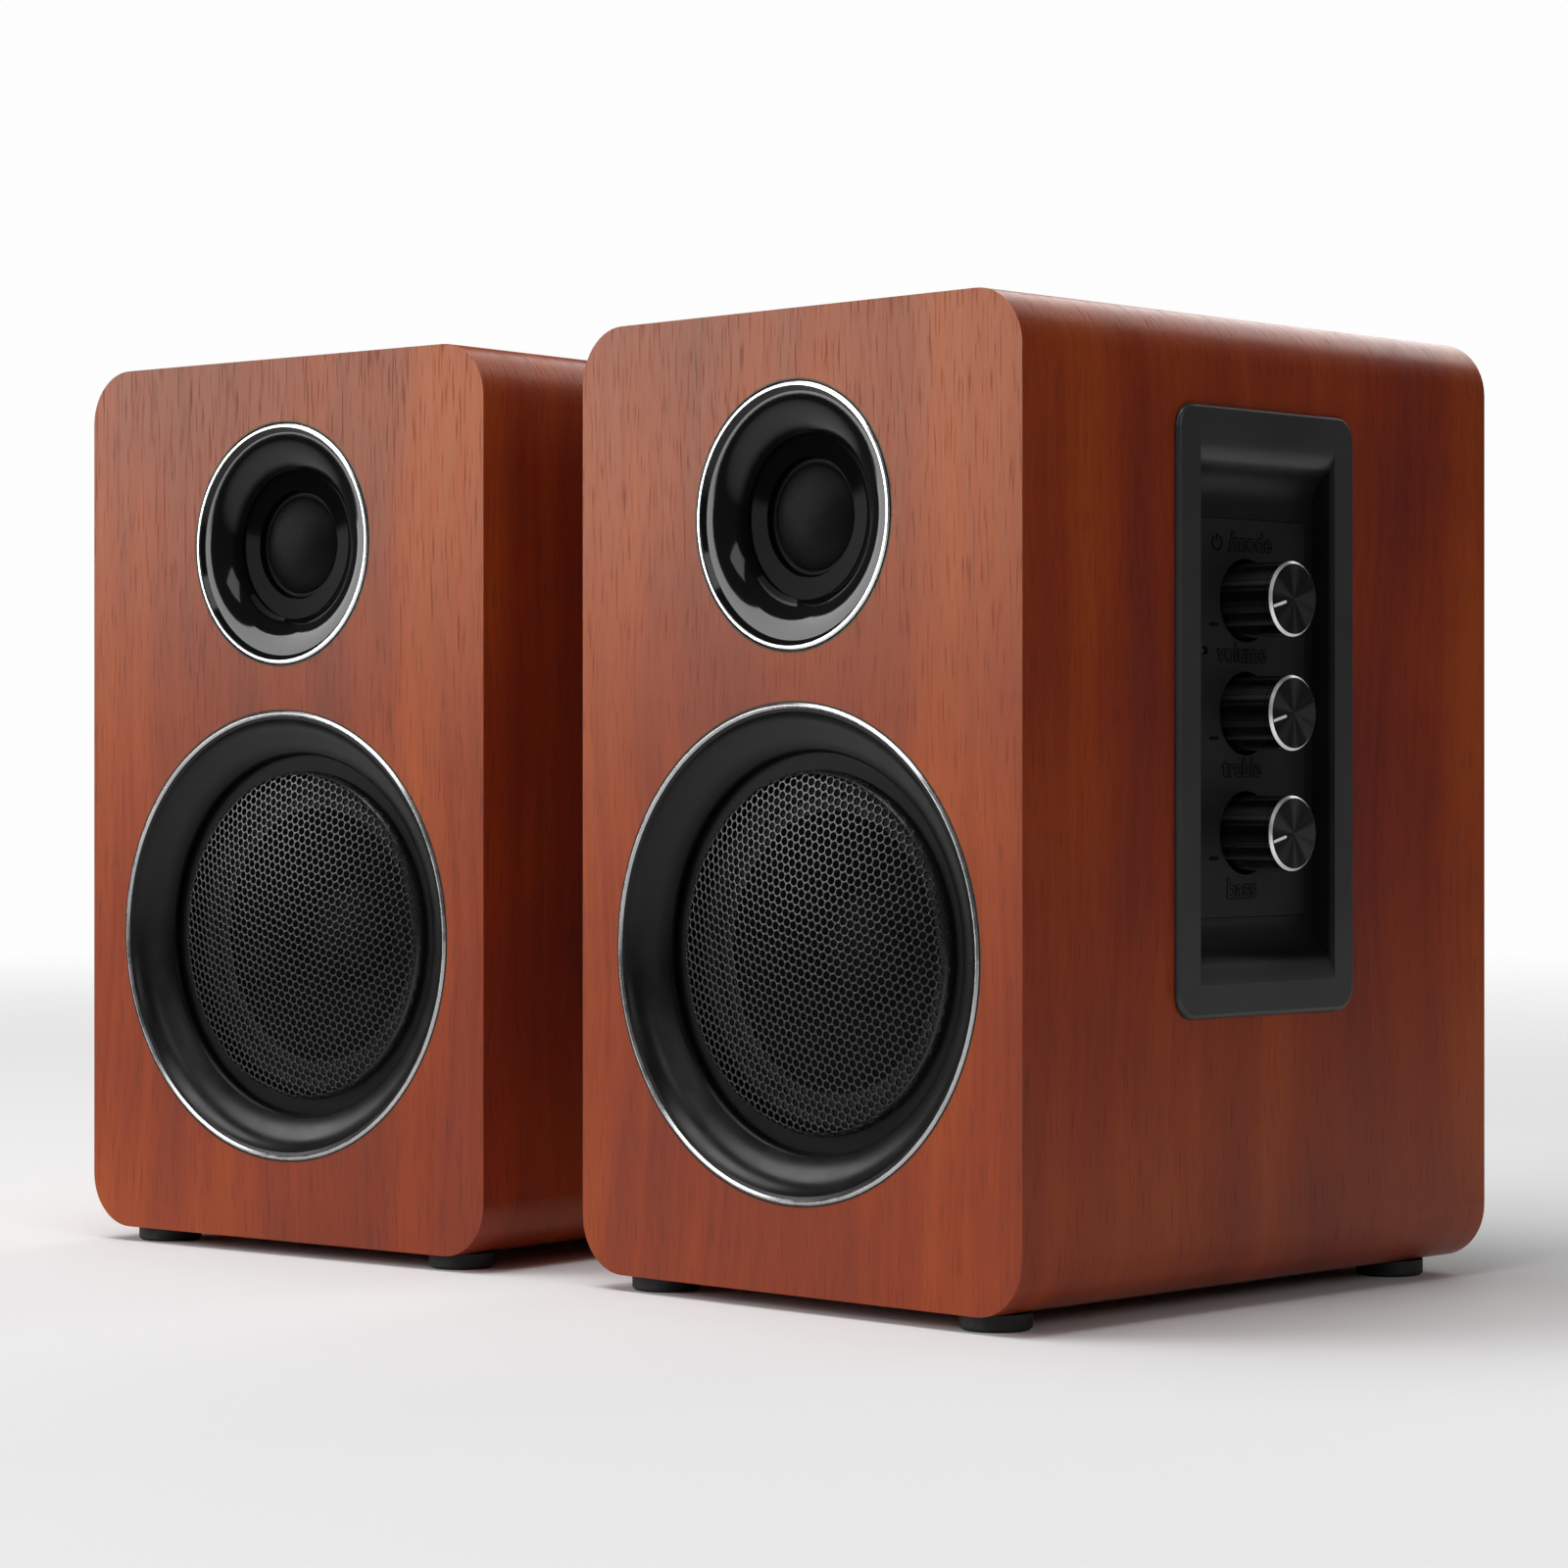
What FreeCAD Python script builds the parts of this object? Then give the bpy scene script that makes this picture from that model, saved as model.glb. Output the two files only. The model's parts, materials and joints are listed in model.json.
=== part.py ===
import FreeCAD, Part
import os
import re
import Sketcher

"""A pair of powered desktop speakers: two wood cabinets on rubber feet, each with a dome tweeter in a
glossy horn and a woofer behind a domed grille. The right cabinet holds the amplifier, with a moulded
control panel and three knobs in its outer side; the left one is passive.

Row frame: +Z up, the fronts face -Y, +X to the right as seen by the listener, origin on the table
at the middle of the pair's outline. Cabinet frame: x from its middle, y back from its front face,
z up from the table. Lengths are in millimetres and angles in degrees.
"""

SIZES = {
    # cabinets
    "cabinet_width": 145, "cabinet_height": 234, "cabinet_depth": 179, "cabinet_corner": 14,
    "wall": 9, "baffle_thickness": 15, "rear_thickness": 9, "rear_inset": 3, "glue_gap": 0.1,
    "front_spread": 180, "toe_in": 3,
    "foot_height": 4, "foot_radius": 8.5, "foot_bevel": 0.7,
    "foot_offset": 54.4, "foot_front": 11.5, "foot_rear": 163,
    # tweeter, depths counted back from the front face
    "tweeter_level": 184.8, "tweeter_recess": 32.2, "tweeter_seat": 5, "tweeter_hole": 27,
    "trim_outer": 31.8, "trim_inner": 30.9, "trim_proud": 0.4, "trim_bevel": 0.35,
    "horn_lip": 29.6, "horn_lip_front": 0.2, "horn_lip_depth": 1, "horn_curve": 13.8,
    "throat_radius": 19.8, "throat_depth": 5.1, "throat_step": 0.8,
    "dome_opening": 14.5, "dome_opening_depth": 6.5, "horn_pocket": 18.5, "horn_pocket_depth": 8.4,
    "horn_boss": 26.7, "horn_back": 12,
    "dome_radius": 12.7, "dome_apex": 3.3, "dome_curve": 18.4, "cloth": 0.45,
    "dome_roll_outer": 14.4, "dome_roll_curve": 0.95, "dome_foot": 18.4,
    "tweeter_pole": 11.9, "tweeter_coil_end": 14, "tweeter_gap": 13.3, "tweeter_gap_end": 20,
    "tweeter_plate": 26, "tweeter_plate_back": 16, "tweeter_magnet": 29, "tweeter_magnet_back": 27,
    "tweeter_cup_back": 30,
    # woofer
    "woofer_level": 80.9, "woofer_recess": 59.65, "woofer_seat": 7, "woofer_hole": 50,
    "ring_outer": 59.5, "ring_inner": 58.3, "ring_proud": 0.5, "ring_bevel": 0.45,
    "bezel_edge": 57.5, "bezel_edge_depth": 0.4, "bezel_dish": 53, "bezel_dish_depth": 4.4,
    "bezel_dish_curve": 7.1, "bezel_roll": 48.79, "bezel_roll_depth": 6.6, "bezel_roll_curve": 14,
    "bezel_lip": 48, "bezel_lip_depth": 8.19, "bezel_lip_curve": 2,
    "bezel_throat": 48.5, "bezel_ledge": 42.3, "bezel_ledge_depth": 9.2, "bezel_back": 10.2,
    "bezel_boss": 49.8,
    "grille_edge": 41, "grille_edge_depth": 6.2, "grille_apex": 2, "grille_curve": 202,
    "grille_rim": 44, "grille_rim_curve": 3, "grille_sheet": 0.8,
    "frame_flange": 56, "frame_flange_inner": 44, "frame_sheet": 1.5, "frame_neck": 48.2,
    "frame_neck_back": 18.5, "frame_tail": 33.2, "frame_tail_front": 37, "frame_back": 41,
    "frame_bore": 20, "spider_ledge": 28, "spider_ledge_depth": 36.6,
    "window_near": 36, "window_far": 44, "window_width": 17, "window_count": 6,
    "woofer_screw_circle": 53,
    "roll_outer": 44.4, "roll_inner": 37.4, "roll_curve": 3.8, "roll_sheet": 0.7,
    "roll_foot_outer": 48.4, "roll_foot_inner": 33.8,
    "cone_outer": 36.8, "cone_inner": 34, "cone_sheet": 0.7,
    "cap_radius": 15, "cap_edge": 27.4, "cap_apex": 23, "cap_curve": 27.8,
    "coil_radius": 12.5, "coil_sheet": 0.6, "coil_end": 50, "cone_neck": 30.4,
    "spider_outer": 31.6, "spider_sheet": 0.6, "spider_wave": 1.1,
    "pole_radius": 11.4, "pole_gap": 13, "top_plate": 30, "top_plate_back": 45,
    "magnet_outer": 35, "magnet_inner": 17, "magnet_back": 57, "yoke_radius": 32, "yoke_back": 62,
    # bass port, in the upper part of the back
    "port_level": 192, "port_bore": 17, "port_outer": 20, "port_front": 100, "port_flange": 25,
    "port_flange_proud": 1.4, "port_mouth": 20.5, "port_flare": 9, "port_flare_start": 171,
    # control panel; heights counted from its centre, depths inward from the side face
    "panel_depth": 88, "panel_level": 138.2, "panel_width": 68, "panel_height": 145,
    "panel_corner": 6, "panel_proud": 1.5, "panel_edge": 1.2,
    "tub_width": 56, "tub_height": 135, "tub_corner": 4, "tub_gap": 0.5, "tub_depth": 8,
    "dish_width": 52, "dish_height": 129, "dish_floor": 5.5, "dish_floor_height": 101.8,
    "plate_width": 46, "plate_height": 95.5, "plate_drop": 1.2, "plate_thickness": 1.2,
    "plate_corner": 1.5, "plate_gap": 0.15, "plate_ledge": 2,
    "post_radius": 3, "post_x": 22.5, "post_y": 56,
    "board_width": 52, "board_height": 122, "board_thickness": 1.6, "board_depth": 22.4,
    # knobs
    "volume_rise": 27.1, "treble_drop": 0.1, "bass_drop": 28.8,
    "knob_radius": 9, "knob_hole": 10.1, "knob_face": 9, "knob_back": 6.5, "knob_chamfer": 0.6,
    "knob_groove_start": 6.9, "knob_groove_end": 7.2, "knob_groove": 8.6,
    "shaft_radius": 3, "shaft_front": 2, "shaft_end": 16, "shaft_fit": 0.04,
    "plunger_radius": 2.9, "plunger_end": 18.6, "housing_side": 12, "housing_height": 7,
    "bushing_radius": 4, "bushing_front": 10.4, "bore_end": 21.4,
    "led_radius": 1.1, "led_hole": 1.15, "led_x": 15.8, "led_y": 14.8, "led_front": 5.9,
    "led_flange": 1.8, "led_flange_front": 15,
    # rear fittings; positions counted from the cabinet's middle and the table
    "amp_width": 112, "amp_height": 124, "amp_thickness": 2, "amp_corner": 4, "amp_level": 92,
    "amp_cut_width": 94, "amp_cut_height": 104, "amp_screw_x": 51.5, "amp_screw_y": 57,
    "amp_board_width": 84, "amp_board_height": 46, "amp_board_y": 160, "amp_board_level": 82,
    "capacitor_radius": 8, "capacitor_length": 22, "sink_width": 60, "sink_height": 14,
    "sink_depth": 16, "amp_post_radius": 3, "amp_post_x": 37, "amp_post_y": 18,
    "clip_x": 17, "clip_level": 122, "passive_clip_level": 66,
    "clip_width": 48, "clip_height": 28, "clip_proud": 7,
    "clip_flange_width": 62, "clip_flange": 2, "clip_body_width": 44, "clip_body_height": 22,
    "clip_body_depth": 9, "clip_screw": 27.5, "clip_cut_gap": 0.4,
    "lever_spacing": 22, "lever_width": 15, "lever_height": 13, "lever_thickness": 2.4,
    "lever_gap": 0.4, "lever_top": 8.5, "pocket_depth": 12, "pivot_radius": 1.2, "pivot_fit": 0.05,
    "pivot_length": 1.2, "pivot_inset": 2.4, "wire_hole": 1.6, "wire_drop": 10, "wire_depth": 13,
    "jack_x": 32, "jack_spacing": 18, "jack_level": 124, "jack_barrel": 4.15, "jack_length": 9,
    "jack_bore": 1.7, "jack_washer": 6.5, "jack_washer_thickness": 1.2,
    "jack_block_width": 13, "jack_block_height": 34, "jack_block_depth": 11,
    "inlet_x": 26, "inlet_level": 48, "inlet_width": 28, "inlet_height": 20, "inlet_flange": 2,
    "inlet_corner": 3, "inlet_body_width": 20, "inlet_body_height": 15, "inlet_body_depth": 20,
    "socket_width": 15, "socket_height": 8.6, "socket_depth": 16, "socket_corner": 4.2,
    "contact_radius": 1.2, "contact_length": 12, "contact_spacing": 8.6,
    # transformer and crossover, on the cabinet floor
    "core_width": 52, "core_depth": 26, "core_height": 44, "core_y": 96, "winding_width": 34,
    "winding_depth": 40, "winding_height": 30, "crossover_width": 50, "crossover_depth": 40,
    "crossover_y": 96, "crossover_part": 7,
    # wood screws
    "screw_head": 3.2, "screw_head_height": 1.9, "screw_shank": 1.5, "screw_length": 7.5,
    "screw_curve": 6, "screw_slot": 0.8, "screw_slot_length": 3.6, "screw_slot_depth": 1.2,
    "screw_fit": 0.05,
}

doc = FreeCAD.newDocument("DesktopSpeakers")
sheet = doc.addObject("Spreadsheet::Sheet", "Sizes")
for row, (alias, size) in enumerate(SIZES.items(), start=1):
    sheet.set(f"A{row}", alias.replace("_", " "))
    sheet.set(f"B{row}", str(size))
    sheet.setAlias(f"B{row}", alias)
doc.recompute()

Vector = FreeCAD.Vector
Rotation = FreeCAD.Rotation
UPRIGHT = Rotation()
INWARD = Rotation(Vector(1, 0, 0), -90)  # local z goes back into the cabinet
OUTWARD = Rotation(Vector(1, 1, 1), 120)  # local x back, y up, z out of the right side
REARWARD = Rotation(Vector(-1, 0, 0), Vector(0, 0, 1), Vector(0, 1, 0), "ZXY")  # y up, z out of the back
UP, ACROSS, BACK = Vector(0, 0, 1), Vector(1, 0, 0), Vector(0, 1, 0)

subparts = []


def formula(text):
    """The expression with each size's alias looked up in the sheet."""
    return re.sub(r"[a-z_]+", lambda word: f"Sizes.{word[0]}" if word[0] in SIZES else word[0], text)


def number(text):
    return float(sheet.evalExpression(formula(text)))


def bind(target, **properties):
    """Binds each property, with dots written as double underscores, to an expression."""
    for name, text in properties.items():
        target.setExpression(name.replace("__", "."), formula(text))


def cabinet(side):
    """The pose of a cabinet, turned in about the middle of its front edge."""
    sign = 1 if side == "right" else -1
    middle = Vector(sign * number("front_spread / 2"), 0, 0)
    return FreeCAD.Placement(middle, Rotation(UP, -sign * number("toe_in")))


def place(side, part, name, x="0", y="0", z="0", turn=UPRIGHT):
    """Names a finished sub-part and puts it at x, y, z of its cabinet's frame."""
    part.Label = name
    spot = Vector(number(x), number(y), number(z))
    part.Placement = cabinet(side) * FreeCAD.Placement(spot, turn)
    subparts.append(part)
    return part


# ---- sketch, PartDesign and Part helpers


def new_body(name):
    return doc.addObject("PartDesign::Body", name)


def sketch_on(body, role, offset="0"):
    """A sketch on one of the body's own origin planes, moved along the plane's normal."""
    sketch = body.newObject("Sketcher::SketchObject", f"{body.Name}_sketch")
    sketch.AttachmentSupport = (next(f for f in body.Origin.OriginFeatures if f.Role == role), [""])
    sketch.MapMode = "FlatFace"
    bind(sketch, AttachmentOffset__Base__z=offset)
    return sketch


def constrain(sketch, joints, dimensions):
    """Adds coincident joints, then dimensions (kind, element..., expression), all in one solve."""
    constraints = [Sketcher.Constraint("Coincident", *joint) for joint in joints]
    constraints += [Sketcher.Constraint(*where, number(text)) for *where, text in dimensions]
    indices = sketch.addConstraint(constraints)
    for index, (*_, text) in zip(indices[len(joints):], dimensions):
        sketch.setExpression(f"Constraints[{index}]", formula(text))


def outline(sketch, points):
    """A closed outline. A point is (x, y), or (x, y, radius) where an arc leads to it: a positive
    radius turns left on the way, a negative one turns right."""
    first = len(sketch.Geometry)
    spots = [Vector(number(p[0]), number(p[1]), 0) for p in points]
    count = len(points)
    begins = []  # which end of each edge comes first: an arc's own start is its counter-clockwise one
    for i in range(count):
        start, end, target = spots[i], spots[(i + 1) % count], points[(i + 1) % count]
        radius = number(target[2]) if len(target) == 3 else None
        begins.append(2 if radius and radius < 0 else 1)
        if radius is None:
            sketch.addGeometry(Part.LineSegment(start, end), False)
            continue
        if radius < 0:
            start, end = end, start
        half = (end - start) / 2
        left = Vector(-half.y, half.x, 0).normalize()
        height = max(radius**2 - half.Length**2, 0) ** 0.5
        middle = start + half + left * (height - abs(radius))
        sketch.addGeometry(Part.Arc(start, middle, end), False)
    joints, dimensions = [], []
    for i, point in enumerate(points):
        here, after = first + i, (i + 1) % count
        joints.append((here, 3 - begins[i], first + after, begins[after]))
        dimensions.append(("DistanceX", here, begins[i], point[0]))
        dimensions.append(("DistanceY", here, begins[i], point[1]))
        if len(points[after]) == 3:
            dimensions.append(("Radius", here, f"abs({points[after][2]})"))
    constrain(sketch, joints, dimensions)


def rectangle(sketch, width, height, corner, x="0", y="0"):
    """A rounded rectangle about x, y, counter-clockwise."""
    corner = f"({corner})"
    left, right = f"{x} - ({width}) / 2", f"{x} + ({width}) / 2"
    low, high = f"{y} - ({height}) / 2", f"{y} + ({height}) / 2"
    outline(sketch, [
        (f"{left} + {corner}", low, corner), (f"{right} - {corner}", low),
        (right, f"{low} + {corner}", corner), (right, f"{high} - {corner}"),
        (f"{right} - {corner}", high, corner), (f"{left} + {corner}", high),
        (left, f"{high} - {corner}", corner), (left, f"{low} + {corner}"),
    ])


def circle(sketch, radius, x="0", y="0"):
    centre = Vector(number(x), number(y), 0)
    index = sketch.addGeometry(Part.Circle(centre, UP, number(radius)), False)
    place_centre = [("DistanceX", index, 3, x), ("DistanceY", index, 3, y)]
    constrain(sketch, [], [("Radius", index, radius), *place_centre])


def feature(body, kind, sketch, reverse=False, **sizes):
    """A PartDesign feature from a sketch; one that removes material has to leave less of it."""
    doc.recompute()
    before = body.Shape.Volume if body.Tip else 0
    made = body.newObject(f"PartDesign::{kind}", f"{body.Name}_{kind.lower()}")
    made.Profile = sketch
    made.Reversed = reverse
    bind(made, **sizes)
    if kind in ("Revolution", "Groove"):
        made.ReferenceAxis = (sketch, ["V_Axis"])
        made.Angle = 360
    doc.recompute()
    change = body.Shape.Volume - before
    if (change > 0) != (kind in ("Pad", "Revolution")):
        raise RuntimeError(f"{made.Name} changed the volume by {change:.2f}")
    return made


def dressed(body, kind, chosen, **sizes):
    """A Fillet or Chamfer on the last feature's edges whose bounding box is chosen."""
    last = body.Tip
    made = body.newObject(f"PartDesign::{kind}", f"{body.Name}_{kind.lower()}")
    edges = enumerate(last.Shape.Edges, start=1)
    made.Base = (last, [f"Edge{i}" for i, edge in edges if chosen(edge.BoundBox)])
    bind(made, **sizes)


def turned(name, profile):
    """A body of revolution about its own z: the profile's points are (radius, depth)."""
    body = new_body(name)
    sketch = sketch_on(body, "XZ_Plane")
    outline(sketch, profile)
    feature(body, "Revolution", sketch)
    return body


def pin(radius, low, high):
    """The profile of a plain round pin about z."""
    return [("0", low), (radius, low), (radius, high), ("0", high)]


def box(name, size, middle=("0", "0", "0")):
    """A block of three sizes about a middle point."""
    block = doc.addObject("Part::Box", name)
    bind(block, Length=size[0], Width=size[1], Height=size[2])
    for axis, length, centre in zip("xyz", size, middle):
        bind(block, **{f"Placement__Base__{axis}": f"{centre} - ({length}) / 2"})
    return block


def rod(name, radius, length, start=("0", "0", "0"), direction=UP):
    """A cylinder from a start point along a direction."""
    cylinder = doc.addObject("Part::Cylinder", name)
    cylinder.Placement.Rotation = Rotation(UP, direction)
    bind(cylinder, Radius=radius, Height=length)
    bind(cylinder, **{f"Placement__Base__{axis}": at for axis, at in zip("xyz", start)})
    return cylinder


def fused(name, pieces):
    union = doc.addObject("Part::MultiFuse", name)
    union.Shapes = pieces
    return union


def less(name, base, *tools):
    """The base with the tools cut away."""
    cut = doc.addObject("Part::Cut", name)
    cut.Base = base
    cut.Tool = tools[0] if len(tools) == 1 else fused(f"{name}_tools", list(tools))
    return cut


def grouped(name, pieces):
    """Separate solids that share one node."""
    group = doc.addObject("Part::Compound", name)
    group.Links = pieces
    return group


# ---- both cabinets: wood, feet and port

MIDDLE = "foot_height + cabinet_height / 2"
REAR_FACE = "cabinet_depth - rear_inset"
AMP_FACE = f"{REAR_FACE} + amp_thickness"


def corners(x, y):
    return [(f"{sx} * {x}", f"{sy} * {y}") for sy in (-1, 1) for sx in (-1, 1)]


def level(name):
    return f"foot_height + {name}"


def woofer_screw_spots():
    """The four woofer screws, on the diagonals of the flange."""
    reach = "woofer_screw_circle / sqrt(2)"
    return [(x, f"{level('woofer_level')} + {y}") for x, y in corners(reach, reach)]


def amp_screw_spots():
    return [(x, f"amp_level + {y}") for x, y in corners("amp_screw_x", "amp_screw_y")]


def clip_screw_spots(x, y):
    return [(f"{x} + {sign} * clip_screw", y) for sign in (-1, 1)]


def add_cabinet(side):
    sleeve = new_body(f"{side}_cabinet_sleeve")
    sketch = sketch_on(sleeve, "XZ_Plane", "-baffle_thickness")
    rectangle(sketch, "cabinet_width", "cabinet_height", "cabinet_corner", y=MIDDLE)
    inner = ("cabinet_width - 2 * wall", "cabinet_height - 2 * wall", "cabinet_corner - wall")
    rectangle(sketch, *inner, y=MIDDLE)
    feature(sleeve, "Pad", sketch, reverse=True, Length="cabinet_depth - baffle_thickness")
    if side == "right":
        sketch = sketch_on(sleeve, "YZ_Plane")
        opening = ("tub_width + 2 * tub_gap", "tub_height + 2 * tub_gap", "tub_corner")
        rectangle(sketch, *opening, x="panel_depth", y=level("panel_level"))
        feature(sleeve, "Pocket", sketch, reverse=True, Length="cabinet_width")
    place(side, sleeve, sleeve.Name)

    baffle = new_body(f"{side}_front_baffle")
    sketch = sketch_on(baffle, "XZ_Plane")
    rectangle(sketch, "cabinet_width", "cabinet_height", "cabinet_corner", y=MIDDLE)
    feature(baffle, "Pad", sketch, reverse=True, Length="baffle_thickness")
    for driver in ("tweeter", "woofer"):
        for hole, depth in (("recess", f"{driver}_seat"), ("hole", "baffle_thickness")):
            sketch = sketch_on(baffle, "XZ_Plane")
            circle(sketch, f"{driver}_{hole}", y=level(f"{driver}_level"))
            feature(baffle, "Pocket", sketch, Length=depth)
    sketch = sketch_on(baffle, "XZ_Plane", "-baffle_thickness")
    for x, y in woofer_screw_spots():
        circle(sketch, "screw_shank + screw_fit", x, y)
    pilot = "screw_length - frame_sheet + screw_fit"
    feature(baffle, "Pocket", sketch, reverse=True, Length=pilot)
    place(side, baffle, baffle.Name)

    rear = new_body(f"{side}_rear_panel")
    sketch = sketch_on(rear, "XZ_Plane", f"-({REAR_FACE})")
    width, height = (f"{size} - 2 * (wall + glue_gap)" for size in ("cabinet_width", "cabinet_height"))
    rectangle(sketch, width, height, "cabinet_corner - wall", y=MIDDLE)
    circle(sketch, "port_outer + glue_gap", y=level("port_level"))
    if side == "right":
        rectangle(sketch, "amp_cut_width", "amp_cut_height", "amp_corner", y="amp_level")
        spots = amp_screw_spots()
    else:
        opening = ("clip_body_width + clip_cut_gap", "clip_body_height + clip_cut_gap", "clip_cut_gap")
        rectangle(sketch, *opening, y="passive_clip_level")
        spots = clip_screw_spots("0", "passive_clip_level")
    for x, y in spots:
        circle(sketch, "screw_shank + screw_fit", x, y)
    feature(rear, "Pad", sketch, Length="rear_thickness")
    place(side, rear, rear.Name)

    feet = new_body(f"{side}_feet")
    sketch = sketch_on(feet, "XY_Plane")
    for y in ("foot_front", "foot_rear"):
        for sign in (-1, 1):
            circle(sketch, "foot_radius", f"{sign} * foot_offset", y)
    feature(feet, "Pad", sketch, Length="foot_height")
    dressed(feet, "Chamfer", lambda edge: edge.ZMax < 1e-6, Size="foot_bevel")
    place(side, feet, feet.Name)

    port = turned(f"{side}_port_tube", [
        ("port_bore", "port_front"), ("port_outer", "port_front"), ("port_outer", REAR_FACE),
        ("port_flange", REAR_FACE), ("port_flange", f"{REAR_FACE} + port_flange_proud"),
        ("port_mouth", f"{REAR_FACE} + port_flange_proud"),
        ("port_bore", "port_flare_start", "port_flare"),
    ])
    place(side, port, port.Name, z=level("port_level"), turn=INWARD)


# ---- both cabinets: tweeter


def add_tweeter(side):
    def put(body):
        place(side, body, body.Name, z=level("tweeter_level"), turn=INWARD)

    put(turned(f"{side}_tweeter_ring", [
        ("trim_inner", "-trim_proud"), ("trim_outer - trim_bevel", "-trim_proud"),
        ("trim_outer", "trim_bevel - trim_proud"), ("trim_outer", "tweeter_seat"),
        ("trim_inner", "tweeter_seat"),
    ]))
    put(turned(f"{side}_tweeter_horn", [
        ("trim_inner", "horn_lip_front"), ("trim_inner", "tweeter_seat"),
        ("horn_boss", "tweeter_seat"), ("horn_boss", "horn_back"), ("horn_pocket", "horn_back"),
        ("horn_pocket", "horn_pocket_depth"), ("dome_opening", "horn_pocket_depth"),
        ("dome_opening", "dome_opening_depth"), ("throat_radius", "throat_depth + throat_step"),
        ("throat_radius", "throat_depth"), ("horn_lip", "horn_lip_depth", "horn_curve"),
    ]))
    back = "horn_pocket_depth + cloth"
    put(turned(f"{side}_tweeter_dome", [
        ("0", "dome_apex", "-dome_curve"), ("0", "dome_apex + cloth"),
        ("dome_radius - cloth", back, "dome_curve - cloth"),
        ("dome_radius - cloth", "tweeter_coil_end"), ("dome_radius", "tweeter_coil_end"),
        ("dome_radius", back), ("dome_foot", back), ("dome_foot", "horn_pocket_depth"),
        ("dome_roll_outer", "horn_pocket_depth"),
        ("dome_radius", "horn_pocket_depth", "-dome_roll_curve"),
    ]))
    put(turned(f"{side}_tweeter_motor", [
        ("0", "horn_pocket_depth + 2 * cloth"), ("0", "tweeter_cup_back"),
        ("tweeter_plate", "tweeter_cup_back"), ("tweeter_plate", "tweeter_magnet_back"),
        ("tweeter_magnet", "tweeter_magnet_back"), ("tweeter_magnet", "tweeter_plate_back"),
        ("tweeter_plate", "tweeter_plate_back"), ("tweeter_plate", "horn_back"),
        ("dome_foot", "horn_back"), ("dome_foot", back), ("tweeter_gap", back),
        ("tweeter_gap", "tweeter_gap_end"), ("tweeter_pole", "tweeter_gap_end"),
        ("tweeter_pole", "horn_pocket_depth + 2 * cloth"),
    ]))


# ---- both cabinets: woofer


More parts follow.
